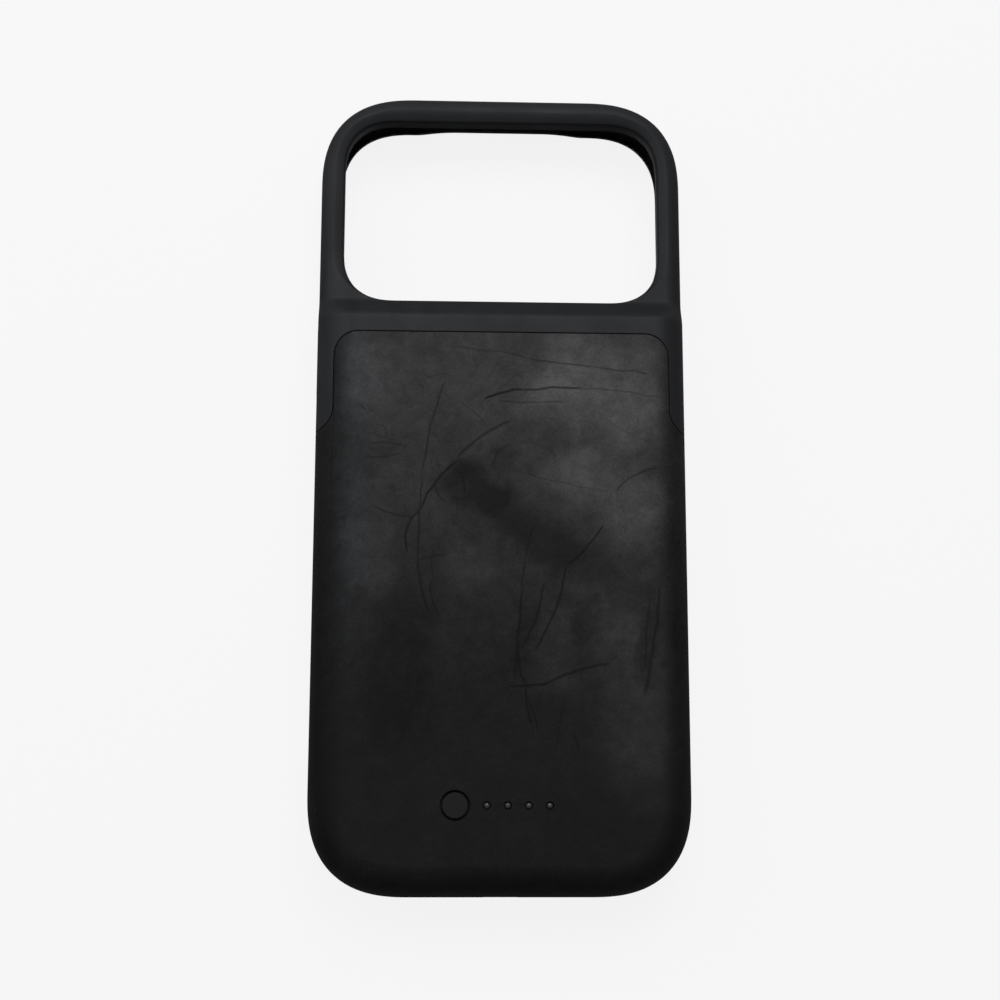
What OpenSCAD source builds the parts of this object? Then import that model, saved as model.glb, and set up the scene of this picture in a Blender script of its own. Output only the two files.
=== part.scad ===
// Battery charging case for a slab phone with a full-width camera window.
// The case lies on its front lip. The back and its battery hump face up, +Z,
// and the camera window is at the +Y end. All lengths are millimetres.

/* [Phone] */
// Width of the phone that the case holds
phone_w = 71.9; // [68:0.1:76]
// Length of the phone
phone_l = 150; // [142:0.5:158]
// Thickness of the phone
phone_t = 8.75; // [7.8:0.05:10]
// How far the bend of a phone corner reaches along each edge
phone_corner = 17; // [14:0.5:18]
// Clearance round the phone
phone_gap = 0.15; // [0.1:0.05:0.4]

/* [Outer form] */
// Thickness of the walls beside the phone
side_wall = 2.05; // [1.7:0.05:2.8]
// Thickness of the wall above the phone
top_wall = 2.3; // [1.8:0.1:3.5]
// Length of the chin that holds the plug and the inlet
chin_l = 14.3; // [14:0.1:18]
// Radius along the edges of the back
hump_edge_r = 6.6; // [5.5:0.1:7]
// Radius along the edges of the camera frame
frame_edge_r = 3.7; // [2.5:0.1:4.5]
// Radius along the front edges
front_edge_r = 1.4; // [0.8:0.1:1.8]
// Height of the camera frame above the phone's back
frame_rise = 3.8; // [3:0.1:4.4]
// Length of the slope from the camera frame up to the hump
slope_l = 5.6; // [4.5:0.1:7]

/* [Camera window] */
// Width of the camera window
window_w = 66.3; // [60:0.1:67]
// Length of the camera window
window_l = 39.7; // [34:0.1:42]
// Distance from the top of the case to the window
window_inset = 5.9; // [5.5:0.1:8]
// How far the bend of a window corner reaches along each edge
window_corner = 11.6; // [8:0.1:14]
// Width of the inner slope of the bead round the window
bead_w = 2; // [1.2:0.1:2.4]
// Depth of the inner slope of the bead
bead_drop = 0.8; // [0.4:0.1:1.2]

/* [Front lip] */
// Height of the lip over the screen
lip_t = 1.2; // [1:0.1:1.6]
// Reach of the lip over the sides and the foot of the screen
lip_reach = 1.5; // [1:0.1:2.2]
// Reach of the lip over the top of the screen
lip_top_reach = 1.15; // [1.15:0.05:2.8]
// Depth of the earpiece notch in the lip
notch_depth = 0.9; // [0.5:0.05:0.9]
// Width of the earpiece notch at its floor
notch_w = 25; // [16:1:34]
// Length of each ramp of the notch
notch_ramp = 6; // [3:0.5:8]

/* [Seam] */
// Distance from the camera window to the seam across the back
seam_drop = 8.2; // [7.4:0.1:10]
// Width of the side legs of the upper frame, seen from the back
leg_w = 3.85; // [3.2:0.05:4.2]
// Length of the side legs
leg_l = 20.4; // [12:0.2:26]
// Radius of the seam corners on the back
seam_r = 5; // [3:0.5:7]
// Radius of the leg ends
leg_end_r = 4.4; // [2.5:0.1:5]
// Width of the seam
seam_gap = 0.1; // [0.05:0.05:0.2]
// Length of the tongue of the housing under the upper frame
tongue_l = 4; // [2:0.5:4.5]
// Thickness of the upper frame over the tongue
tongue_cover = 2.2; // [1.8:0.1:3]

/* [Battery bay] */
// Thickness of the inner plate under the phone
plate_t = 1; // [0.8:0.1:1.4]
// Width of the battery cell
cell_w = 64; // [54:0.5:68]
// Length of the battery cell
cell_l = 78; // [66:0.5:82]
// Height of the battery cell
cell_t = 5.5; // [4:0.1:6.5]
// Least space between the battery cell and the walls beside it
cell_side_room = 0.95; // [0.4:0.05:2]
// Least space between the battery cell and the wall above it
cell_end_room = 0.4; // [0.3:0.05:2]
// Space between the battery cell and the inner plate
cell_gap = 0.3; // [0.2:0.05:0.5]
// Width of the adhesive tape over the cell
tape_w = 48; // [40:1:52]
// Length of the adhesive tape
tape_l = 62; // [50:1:64]
// Thickness of the adhesive tape
tape_t = 0.3; // [0.1:0.05:0.5]
// Thickness of the back wall
back_wall = 1.4; // [1.1:0.05:1.6]

/* [Status button and lights] */
// Distance from the foot of the case to the button and the lights
status_y = 17.8; // [16.5:0.1:19]
// Place of the button, left of the middle
button_x = 9; // [8:0.1:11]
// Diameter of the button cap
button_d = 5; // [4:0.1:5.6]
// Width of the recess round the button cap
button_ring = 0.45; // [0.2:0.05:0.6]
// Depth of that recess
button_ring_t = 0.7; // [0.3:0.05:0.8]
// Radial clearance of the button cap
button_fit = 0.07; // [0.05:0.01:0.1]
// Travel of the button
button_travel = 0.3; // [0.2:0.05:0.35]
// Number of charge lights
light_n = 4; // [2:1:4]
// Distance between the lights
light_pitch = 4.1; // [3.4:0.01:4.4]
// Place of the first light, left of the middle
light_x = 2.8; // [2.6:0.1:3.2]
// Diameter of the light holes
light_d = 1.6; // [1.2:0.1:2]
// Depth of the light pins below the back
light_sink = 0.25; // [0.1:0.05:0.5]
// Radial clearance of the light pins
light_fit = 0.08; // [0.05:0.01:0.1]

/* [Main board] */
// Thickness of the main board
board_t = 1; // [0.8:0.1:1.2]
// Width of the main board
board_w = 48; // [46:1:50]
// Length of the main board
board_l = 23.6; // [22:0.1:24]
// Space between the inner plate and the main board
board_rise = 1.9; // [1.7:0.05:2.2]
// Distance from the screws to the edges of the board
screw_inset = 2.6; // [2.4:0.1:3]
// Diameter of the screw shanks
screw_d = 1.5; // [1.2:0.1:1.6]
// Diameter of the screw heads
screw_head_d = 2.8; // [2.4:0.1:3]
// Height of the screw heads
screw_head_t = 0.8; // [0.5:0.1:1]
// Length of the screws below the head
screw_l = 3.2; // [2.6:0.1:3.6]
// Radial clearance of a screw in its boss
screw_fit = 0.02; // [0.01:0.01:0.05]
// Diameter of the screw bosses
boss_d = 4.4; // [3.6:0.1:4.8]
// Width of the push switch
switch_w = 4.2; // [3.6:0.1:5]
// Height of the push switch
switch_t = 1.2; // [1:0.1:1.3]
// Diameter of the plunger of the push switch
plunger_d = 2.3; // [1.6:0.1:2.6]

/* [Inlet and plug] */
// Width of the charging inlet
inlet_w = 8.94; // [8.5:0.02:9.4]
// Height of the charging inlet
inlet_h = 3.26; // [3:0.02:3.5]
// Length of the charging inlet
inlet_l = 7.3; // [6.5:0.1:7.6]
// Width of the plug
plug_w = 8.25; // [8:0.05:8.4]
// Height of the plug
plug_h = 2.4; // [2.3:0.05:2.6]
// Length of the plug inside the phone
plug_reach = 6.5; // [6:0.1:7]
// Sheet thickness of the metal shells
shell_t = 0.3; // [0.2:0.05:0.35]
// Width of a sound slot
sound_w = 11; // [8:0.5:13]
// Height of a sound slot
sound_h = 2.6; // [2:0.1:3]
// Distance from the middle to each sound slot
sound_x = 19; // [17:0.5:20]

/* [Side controls] */
// How far the moulded side pads stand out
pad_rise = 0.45; // [0.2:0.05:0.6]
// Width of the side pads across the edge
pad_h = 3.6; // [3:0.1:4.4]
// Length of the two volume pads
volume_l = 10.6; // [8:0.2:12]
// Length of the action pad
action_l = 5.6; // [4.4:0.2:8]
// Length of the side pad on the other edge
side_l = 16.6; // [12:0.2:19]
// Distance from the top of the phone to the action pad
action_drop = 35; // [32:0.5:36]
// Distance from the top of the phone to the upper volume pad
volume_drop = 48; // [46:0.5:49]
// Distance between the two volume pads
volume_pitch = 14; // [12.5:0.5:15]
// Distance from the top of the phone to the side pad
side_drop = 55; // [50:0.5:58]
// Length of the slot for the sliding control
slot_l = 22; // [14:0.5:26]
// Width of that slot
slot_h = 5; // [4:0.1:5.6]
// Distance from the top of the phone to that slot
slot_drop = 99; // [96:0.5:110]

/* [Hidden] */
$fn = 72;
eps = 0.01;
over = 1;

// Shape of every flowing corner: 2 would be a plain arc
corner_power = 2.55;
corner_steps = 10;
edge_steps = 6;
slope_steps = 8;
bead_steps = 4;

// Clearance between plates and the seats that they drop into
drop_gap = 0.1;
// Clearance that keeps a cap or a leg off the piece below it
rest_gap = 0.05;
// Clearance of an insert that is pressed or moulded into its shell
insert_gap = 0.03;
// How much further the corners of the case reach than those of the phone
corner_extra = 1.1;

// The phone and its cavity
cavity_w = phone_w + 2 * phone_gap;
cavity_l = phone_l + 2 * phone_gap;
cavity_top_z = lip_t + phone_t + phone_gap;
phone_mid_z = lip_t + phone_t / 2;

// Walls of the battery bay and of the chin, and what lies between board and cell
bay_edge = 1.4;
bay_wall = 2;
bay_inset = hump_edge_r - bay_edge;
chin_wall = 3.2;
board_room = 1;
protection_l = 3.2;
protection_room = 1.4;

// The whole case: it is as wide and long as the phone needs, or the cell where that is larger
case_w = max(cavity_w + 2 * side_wall, cell_w + 2 * (cell_side_room + bay_inset));
case_l = max(cavity_l + top_wall + chin_l, window_inset + window_l + seam_drop + bay_wall
    + cell_end_room + cell_l + protection_l + protection_room + board_l + board_room + chin_wall);
half_w = case_w / 2;
half_l = case_l / 2;
corner = phone_corner + phone_gap + side_wall + corner_extra;
cavity_top_y = half_l - top_wall;
cavity_foot_y = cavity_top_y - cavity_l;
phone_top_y = cavity_top_y - phone_gap;

// Heights through the hump
plate_top_z = cavity_top_z + plate_t;
cell_z = plate_top_z + cell_gap;
roof_z = cell_z + cell_t + tape_t;
case_h = roof_z + back_wall;
frame_h = cavity_top_z + frame_rise;

// Camera window and the slope below it
window_top_y = half_l - window_inset;
window_foot_y = window_top_y - window_l;
slope_foot_y = window_foot_y + 0.6;
slope_crest_y = slope_foot_y - slope_l;
bead_fade = 7;

// Seam between the upper frame and the back housing
seam_y = window_foot_y - seam_drop;
leg_x = half_w - leg_w;
leg_end_y = seam_y - leg_l;
tongue_y = seam_y + tongue_l;
tongue_z = case_h - tongue_cover;
tongue_side = 3.4;
tongue_r = 2.5;
tongue_root = 3;
tongue_half_w = leg_x - tongue_side;
plate_end_y = tongue_y;

// Battery bay and chin
tongue_wall = 1.6;
chin_step = 3.4;
bulkhead_t = 2;
chin_top_z = case_h - hump_edge_r + chin_step;
bulkhead_y = cavity_foot_y - bulkhead_t;
bay_end_y = seam_y - bay_wall;
tongue_bay_y = tongue_y - tongue_wall;
cover_ledge = 0.8;
cover_t = lip_t;

// Main board and what it carries
board_z = plate_top_z + board_rise;
board_top_z = board_z + board_t;
board_foot_y = -half_l + chin_wall + board_room;
board_head_y = board_foot_y + board_l;
screw_room = 0.3;
boss_hole = screw_l - board_t + screw_room;
screw_slot_w = 0.35;
screw_slot_t = 0.35;
status_row_y = -half_l + status_y;
switch_top_z = board_top_z + switch_t;
plunger_rise = 0.3;
plunger_sink = 0.65;
plunger_top_z = switch_top_z + plunger_rise;
plunger_foot_z = switch_top_z - plunger_sink;
plunger_fit = 0.1;
button_edge = 0.25;
button_flange = 0.8;
button_flange_t = 0.65;
button_stem_d = 2.4;
light_bar_t = 0.9;
light_bar_w = 2.6;
led_w = 1.6;
led_l = 0.8;
led_t = 0.7;
led_gap = 0.25;

// Battery cell, its protection board and the tabs
protection_w = 24;
cell_foot_y = board_head_y + protection_room + protection_l;
cell_edge_r = 1.6;
tab_w = 4;
tab_l = 6;
tab_t = 0.15;
tab_x = 8;
tab_lap = 0.6;

// Chips under the main board
chip_t = 0.9;
chip_w = 4;
boost_w = 3.4;
inductor_w = 5;
inductor_room = 0.3;
inductor_t = board_rise - inductor_room;
inductor_foot_t = 0.4;
capacitor = [2, 1.25, 1.25];
charge_x = -9;
boost_x = 4.5;
chip_room = 0.5;
chip_y = board_head_y - screw_inset - screw_head_d / 2 - chip_room - inductor_w / 2;

// Inlet and plug
inlet_z = board_z - inlet_h / 2;
inlet_sink = 0.4;
inlet_mouth_y = -half_l + inlet_sink;
inlet_back_y = inlet_mouth_y + inlet_l;
inlet_tongue_w = 6.7;
inlet_tongue_t = 0.7;
inlet_tongue_sink = 0.9;
inlet_block_l = 1.7;
plug_tip_y = cavity_foot_y + plug_reach;
plug_sink = 3.4;
core_sink = 0.3;
core_mouth_w = 6.8;
core_mouth_h = 0.8;
core_mouth_l = 5;
carrier_w = 15;
carrier_h = 7;
carrier_l = 4.2;
carrier_back_y = bulkhead_y - carrier_l;
nose_w = 12.4;
nose_h = 5.2;
plug_board_w = 24;
plug_board_t = 0.8;
plug_board_room = [1.2, 0.3];
plug_board_z = [cover_t + plug_board_room[0], inlet_z - inlet_h / 2 - plug_board_room[1]];
flex_t = 0.2;
flex_w = 3.4;
flex_side = 0.7;
flex_x = carrier_w / 2 + flex_side;
flex_run = 4;
flex_start = 1;
flex_room = 0.9;
inductor_x = flex_x + flex_w + flex_room + inductor_w / 2;
capacitor_x = [-15, -2.6, 0.6, inductor_x + 4.2];

// Side pads and the pockets behind them
pad_root = 1;
pocket_depth = 0.5;
pocket_room = 1;

// Steps along the two long edges, closer together on the slope
slope_cuts = [for (i = [0:slope_steps]) slope_crest_y + i * slope_l / slope_steps];

// A smooth step from 0 to 1
function ease(t) = let (c = min(1, max(0, t))) c * c * (3 - 2 * c);

// Height and edge radius of the case at a place along its length
function rise(y) = 1 - ease((y - slope_crest_y) / slope_l);
function back_z(y) = frame_h + (case_h - frame_h) * rise(y);
function edge_r(y) = frame_edge_r + (hump_edge_r - frame_edge_r) * rise(y);

// Right half of a rim with flowing corners, from its foot to its top. Each station holds
// the point that it starts from and the direction in which the rim lies.
function bend(v) = pow(max(0, v), 2 / corner_power);
function rim(hw, foot, top, reach, cuts = []) = concat(
    [for (i = [0:corner_steps]) let (t = 90 * i / corner_steps)
        [hw - reach, foot + reach, bend(sin(t)), -bend(cos(t))]],
    [for (y = cuts) [hw - reach, y, 1, 0]],
    [for (i = [0:corner_steps]) let (t = 90 * i / corner_steps)
        [hw - reach, top - reach, bend(cos(t)), bend(sin(t))]]);
function rim_point(station, reach) =
    [station[0] + reach * station[2], station[1] + reach * station[3]];

// Closes a right half with its mirror image
function whole(half) = concat(half,
    [for (i = [len(half) - 1:-1:0]) [for (k = [0:len(half[i]) - 1]) k == 0 ? -half[i][k] : half[i][k]]]);

function outline(hw, foot, top, reach) =
    whole([for (s = rim(hw, foot, top, reach)) rim_point(s, reach)]);

// A solid through rings of points, each ring a right half and its mirror image
module loft(rings) {
    n = len(rings[0]);
    last = (len(rings) - 1) * n;
    skin = [for (k = [0:len(rings) - 2], i = [0:n - 1]) let (a = k * n + i, b = k * n + (i + 1) % n)
        each [[a, a + n, b + n], [a, b + n, b]]];
    front = [for (i = [0:n / 2 - 2]) [i, i + 1, n - 2 - i, n - 1 - i]];
    back = [for (i = [0:n / 2 - 2]) [last + n - 1 - i, last + n - 2 - i, last + i + 1, last + i]];
    polyhedron(points = [for (r = rings) each r], faces = concat(skin, front, back), convexity = 6);
}

// The outer form of frame and housing together: a rounded front edge, upright sides and a
// rounded back edge whose height and radius both grow on the slope from window to hump
module case_form() {
    stations = rim(half_w, -half_l, half_l, corner, slope_cuts);
    function ring(inset, z) = whole([for (i = [0:len(stations) - 1])
        concat(rim_point(stations[i], corner - inset[i]), z[i])]);
    front_rings = [for (k = [0:3]) let (a = 30 * k)
        ring([for (s = stations) front_edge_r * (1 - sin(a))],
             [for (s = stations) front_edge_r * (1 - cos(a))])];
    back_rings = [for (k = [0:edge_steps]) let (a = 90 * k / edge_steps)
        ring([for (s = stations) edge_r(rim_point(s, corner)[1]) * (1 - cos(a))],
             [for (s = stations) let (y = rim_point(s, corner)[1])
                back_z(y) - edge_r(y) * (1 - sin(a))])];
    loft(concat(front_rings, back_rings));
}

// The camera window with the inner slope of its bead, which fades out towards the hump
module window_cut() {
    stations = rim(window_w / 2, window_foot_y, window_top_y, window_corner);
    function fade(s) = ease((rim_point(s, window_corner)[1] - window_foot_y - 1) / bead_fade);
    function ring(spread, z) = whole([for (s = stations)
        concat(rim_point(s, window_corner + spread * fade(s)), z)]);
    edge_z = frame_h - bead_drop;
    loft(concat([ring(0, cavity_top_z - over)],
        [for (k = [0:bead_steps]) let (t = k / bead_steps)
            ring(bead_w * t, edge_z + (bead_drop + eps * 4) * (1 - pow(1 - t, 2)))],
        [ring(bead_w * 1.02, case_h + over)]));
}

// Outlines
module plan(inset) {
    polygon(outline(half_w - inset, -half_l + inset, half_l - inset, corner - inset));
}

module cavity_plan(inset = 0) {
    reach = phone_corner + phone_gap - inset;
    polygon(outline(cavity_w / 2 - inset, cavity_foot_y + inset, cavity_top_y - inset, reach));
}

module band(y0, y1) {
    translate([-case_w, y0]) square([2 * case_w, y1 - y0]);
}

// A slot outline with round ends
module slot(w, h) {
    square([w - h, h], center = true);
    for (s = [-1, 1]) translate([s * (w - h) / 2, 0]) circle(d = h);
}

// A slot outline pushed along the length of the case, between two places
module long_slot(x, z, w, h, y0, y1) {
    translate([x, y1, z]) rotate([90, 0, 0]) linear_extrude(y1 - y0) slot(w, h);
}

// A slot outline pushed outwards through the right wall
module wall_slot(y, w, h, x0, x1) {
    translate([x0, y, phone_mid_z]) rotate([90, 0, 90]) linear_extrude(x1 - x0) slot(w, h);
}

// Where the back housing lies, seen from the back, grown by a gap
module housing_plan(gap = 0) {
    top = seam_y + gap;
    side = leg_x + gap;
    r = seam_r + gap;
    band(-case_l, leg_end_y - case_w);
    difference() {
        union() {
            band(-case_l, leg_end_y + leg_end_r);
            translate([-side, -case_l]) square([2 * side, case_l + top - r]);
            translate([-side + r, -case_l]) square([2 * (side - r), case_l + top]);
            for (s = [-1, 1]) translate([s * (side - r), top - r]) circle(r);
        }
        for (s = [-1, 1]) translate([s * (leg_x + leg_end_r), leg_end_y + leg_end_r]) {
            circle(leg_end_r - gap);
            translate([s > 0 ? 0 : -case_w, -leg_end_r + gap]) square([case_w, case_w]);
        }
    }
}

// The screen opening in the lip, with its earpiece notch
module screen_plan() {
    hw = cavity_w / 2 - phone_gap - lip_reach;
    foot = cavity_foot_y + phone_gap + lip_reach;
    top = cavity_top_y - lip_top_reach;
    right = [for (s = rim(hw, foot, top, phone_corner - lip_reach)) rim_point(s, phone_corner - lip_reach)];
    notch_end = notch_w / 2 + notch_ramp;
    notch = [for (i = [0:24]) let (x = notch_end * (1 - i / 12))
        [x, top + notch_depth * ease((notch_end - abs(x)) / notch_ramp)]];
    polygon(concat(right, notch, [for (i = [len(right) - 1:-1:0]) [-right[i][0], right[i][1]]]));
}

module phone_cavity() {
    translate([0, 0, lip_t]) linear_extrude(cavity_top_z - lip_t) cavity_plan();
    translate([0, 0, -over]) linear_extrude(lip_t + 2 * over) screen_plan();
}

// The seat of the inner plate, grown by a gap
module plate_seat(gap) {
    translate([0, 0, cavity_top_z - eps]) linear_extrude(plate_t + eps) intersection() {
        cavity_plan(drop_gap - gap);
        band(-case_l, plate_end_y + gap);
    }
}

// The tongue that the upper frame laps over, grown by a gap
module tongue(gap = 0) {
    w = tongue_half_w + gap;
    y = tongue_y + gap;
    root_y = seam_y - tongue_root;
    translate([0, 0, plate_top_z]) linear_extrude(tongue_z + gap - plate_top_z) {
        translate([-w, root_y]) square([2 * w, y - tongue_r - root_y]);
        translate([-w + tongue_r, root_y]) square([2 * (w - tongue_r), y - root_y]);
        for (s = [-1, 1]) translate([s * (w - tongue_r), y - tongue_r]) circle(tongue_r);
    }
}

// Screw places
module each_screw() {
    for (x = [-1, 1], y = [board_foot_y + screw_inset, board_head_y - screw_inset])
        translate([x * (board_w / 2 - screw_inset), y, 0]) children();
}

function light_place(i) = [-light_x + i * light_pitch, status_row_y];

module at_button() {
    translate([-button_x, status_row_y, 0]) children();
}

// The soft upper frame: it wraps the camera window, and its legs carry the side pads
module upper_frame() {
    color("#2b2d30") difference() {
        union() {
            difference() {
                case_form();
                translate([0, 0, -over]) linear_extrude(case_h + 2 * over) housing_plan(seam_gap);
            }
            each_pad() wall_slot(0, $pad_l, pad_h, half_w - pad_root, half_w + pad_rise);
        }
        phone_cavity();
        plate_seat(drop_gap);
        tongue(drop_gap);
        window_cut();
        each_pad() wall_slot(0, $pad_l - pocket_room, pad_h - pocket_room,
            cavity_w / 2 - eps, cavity_w / 2 + pocket_depth);
    }
}

// The side pads: action pad and two volume pads on the right, one long pad on the left.
// Each has a shallow pocket behind it for the button of the phone.
module each_pad() {
    pads = [[1, action_drop, action_l], [1, volume_drop, volume_l],
        [1, volume_drop + volume_pitch, volume_l], [-1, side_drop, side_l]];
    for (pad = pads) {
        $pad_l = pad[2];
        translate([0, phone_top_y - pad[1], 0]) mirror([pad[0] < 0 ? 1 : 0, 0, 0]) children();
    }
}

// The hard back housing with the hump, the lower walls and the chin
module back_housing() {
    color("#363636") difference() {
        union() {
            difference() {
                intersection() {
                    case_form();
                    translate([0, 0, -over]) linear_extrude(case_h + 2 * over) housing_plan();
                }
                phone_cavity();
                plate_seat(drop_gap);
                battery_bay();
                chin_space();
            }
            difference() {
                tongue();
                battery_bay();
            }
            each_screw() translate([0, 0, board_top_z])
                cylinder(d = boss_d, h = roof_z + eps - board_top_z);
        }
        each_screw() translate([0, 0, board_top_z - eps])
            cylinder(d = screw_d + 2 * screw_fit, h = boss_hole);
        button_hole();
        for (i = [0:light_n - 1]) translate(concat(light_place(i), roof_z - over))
            cylinder(d = light_d, h = back_wall + 2 * over);
        long_slot(0, inlet_z, inlet_w + 2 * drop_gap, inlet_h + 2 * drop_gap,
            -half_l - over, -half_l + chin_wall + over);
        long_slot(0, phone_mid_z, nose_w + 2 * drop_gap, nose_h + 2 * drop_gap,
            bulkhead_y - eps, cavity_foot_y + over);
        for (s = [-1, 1]) long_slot(s * sound_x, phone_mid_z, sound_w, sound_h,
            -half_l - over, cavity_foot_y + over);
        mirror([1, 0, 0])
            wall_slot(phone_top_y - slot_drop, slot_l, slot_h, cavity_w / 2 - over, half_w + over);
    }
}

module battery_bay() {
    translate([0, 0, plate_top_z - eps]) linear_extrude(roof_z - plate_top_z + eps) intersection() {
        plan(bay_inset);
        union() {
            band(-case_l, bay_end_y);
            translate([-tongue_half_w + tongue_wall, bay_end_y - over])
                square([2 * (tongue_half_w - tongue_wall), tongue_bay_y - bay_end_y + over]);
        }
    }
}

// The space in the chin, open to the front for its cover and to the battery bay
module chin_space() {
    translate([0, 0, cover_t]) linear_extrude(chin_top_z - cover_t) intersection() {
        plan(chin_wall);
        band(-case_l, bulkhead_y);
    }
    translate([0, 0, -over]) linear_extrude(cover_t + over) cover_plan(0);
}

module cover_plan(inset) {
    intersection() {
        plan(chin_wall - cover_ledge + inset);
        band(-case_l, bulkhead_y + cover_ledge - inset);
    }
}

module button_hole() {
    r = button_d / 2 + button_fit;
    at_button() {
        translate([0, 0, roof_z - over]) cylinder(r = r, h = back_wall + 2 * over);
        translate([0, 0, case_h - button_ring_t]) cylinder(r = r + button_ring, h = button_ring_t + over);
    }
}

// The plate that closes the battery bay and carries the back of the phone
module inner_plate() {
    color("#2f2f31") translate([0, 0, cavity_top_z]) linear_extrude(plate_t) intersection() {
        cavity_plan(drop_gap);
        band(-case_l, plate_end_y);
    }
}

// The cover that closes the chin from the front
module chin_cover() {
    color("#343436") linear_extrude(cover_t) cover_plan(drop_gap);
}

// The status button: cap, retaining flange and stem in one moulding
module status_button() {
    flange_z = roof_z - rest_gap - button_flange_t;
    edge_z = case_h - button_edge;
    color("#2c2c2e") at_button() {
        translate([0, 0, flange_z + button_flange_t - eps])
            cylinder(d = button_d, h = edge_z - flange_z - button_flange_t + eps);
        translate([0, 0, edge_z]) cylinder(d1 = button_d, d2 = button_d - 2 * button_edge, h = button_edge);
        translate([0, 0, flange_z]) cylinder(d = button_d + 2 * button_flange, h = button_flange_t);
        translate([0, 0, plunger_top_z]) cylinder(d = button_stem_d, h = flange_z + eps - plunger_top_z);
    }
}

// One clear moulding with a pin for each charge light and a bar that joins them
module light_guide() {
    pin_d = light_d - 2 * light_fit;
    foot_z = board_top_z + led_t + led_gap;
    run = (light_n - 1) * light_pitch;
    color("#8a8d90") {
        translate([-light_x + run / 2, status_row_y, roof_z - light_bar_t])
            linear_extrude(light_bar_t) slot(run + light_bar_w, light_bar_w);
        for (i = [0:light_n - 1]) translate(concat(light_place(i), foot_z))
            cylinder(d = pin_d, h = case_h - light_sink - foot_z);
    }
}

module switch_body() {
    bore = plunger_d + 2 * plunger_fit;
    color("#3c3c3e") at_button() translate([0, 0, board_top_z]) difference() {
        translate([-switch_w / 2, -switch_w / 2, 0]) cube([switch_w, switch_w, switch_t]);
        translate([0, 0, plunger_foot_z - button_travel - rest_gap - board_top_z])
            cylinder(d = bore, h = switch_t + over);
    }
}

module switch_plunger() {
    color("#d8d4c8") at_button() translate([0, 0, plunger_foot_z])
        cylinder(d = plunger_d, h = plunger_top_z - plunger_foot_z);
}

// The main board, with a hole for each screw
module main_board() {
    color("#1f5b3a") difference() {
        translate([-board_w / 2, board_foot_y, board_z]) cube([board_w, board_l, board_t]);
        each_screw() translate([0, 0, board_z - over])
            cylinder(d = screw_d + 2 * drop_gap, h = board_t + 2 * over);
    }
}

module led(i) {
    if (i < light_n) color("#f2efe2") translate(concat(light_place(i), board_top_z)) {
        translate([-led_w / 2, -led_l / 2, 0]) cube([led_w, led_l, led_t * 0.6]);
        translate([-led_w / 4, -led_l / 2, led_t * 0.6 - eps]) cube([led_w / 2, led_l, led_t * 0.4 + eps]);
    }
}

// A part under the main board, given its place and its size
module under_board(x, y, size) {
    translate([x - size[0] / 2, y - size[1] / 2, board_z - size[2]]) cube(size);
}

module charge_chip() {
    color("#262628") under_board(charge_x, chip_y, [chip_w, chip_w, chip_t]);
}

module boost_chip() {
    color("#262628") under_board(boost_x, chip_y, [boost_w, boost_w, chip_t]);
}

// A wound power inductor, with its foot plate and its round core
module power_inductor() {
    core_t = inductor_t - inductor_foot_t;
    color("#4a4642") translate([inductor_x, chip_y, board_z - inductor_t]) {
        translate([-inductor_w / 2, -inductor_w / 2, core_t])
            cube([inductor_w, inductor_w, inductor_foot_t]);
        cylinder(d = inductor_w, h = core_t + eps);
    }
}

module capacitors() {
    color("#b09870") for (x = capacitor_x) under_board(x, chip_y, capacitor);
}

module board_screws() {
    color("#b8babd") each_screw() {
        difference() {
            translate([0, 0, board_z - screw_head_t]) cylinder(d = screw_head_d, h = screw_head_t);
            for (a = [0, 90]) translate([0, 0, board_z - screw_head_t]) rotate([0, 0, a])
                cube([screw_head_d * 0.6, screw_slot_w, 2 * screw_slot_t], center = true);
        }
        translate([0, 0, board_z - eps]) cylinder(d = screw_d, h = screw_l + eps);
    }
}

// The metal shell of the charging inlet
module inlet_shell() {
    color("#c4c6c9") difference() {
        long_slot(0, inlet_z, inlet_w, inlet_h, inlet_mouth_y, inlet_back_y);
        long_slot(0, inlet_z, inlet_w - 2 * shell_t, inlet_h - 2 * shell_t,
            inlet_mouth_y - over, inlet_back_y + over);
    }
}

// The insulator of the inlet: a block at the back and the thin tongue
module inlet_tongue() {
    shrink = 2 * (shell_t + insert_gap);
    color("#1c1c1e") {
        long_slot(0, inlet_z, inlet_w - shrink, inlet_h - shrink,
            inlet_back_y - inlet_block_l, inlet_back_y);
        translate([-inlet_tongue_w / 2, inlet_mouth_y + inlet_tongue_sink, inlet_z - inlet_tongue_t / 2])
            cube([inlet_tongue_w, inlet_l - inlet_tongue_sink - inlet_block_l + eps, inlet_tongue_t]);
    }
}

module plug_shell() {
    color("#c4c6c9") difference() {
        long_slot(0, phone_mid_z, plug_w, plug_h, cavity_foot_y - plug_sink, plug_tip_y);
        long_slot(0, phone_mid_z, plug_w - 2 * shell_t, plug_h - 2 * shell_t,
            cavity_foot_y - plug_sink - over, plug_tip_y + over);
    }
}

// The insulator inside the plug, with the mouth that takes the tongue of the phone
module plug_core() {
    shrink = 2 * (shell_t + insert_gap);
    color("#1c1c1e") difference() {
        long_slot(0, phone_mid_z, plug_w - shrink, plug_h - shrink,
            cavity_foot_y - plug_sink, plug_tip_y - core_sink);
        translate([-core_mouth_w / 2, plug_tip_y - core_mouth_l, phone_mid_z - core_mouth_h / 2])
            cube([core_mouth_w, core_mouth_l + over, core_mouth_h]);
    }
}

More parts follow.
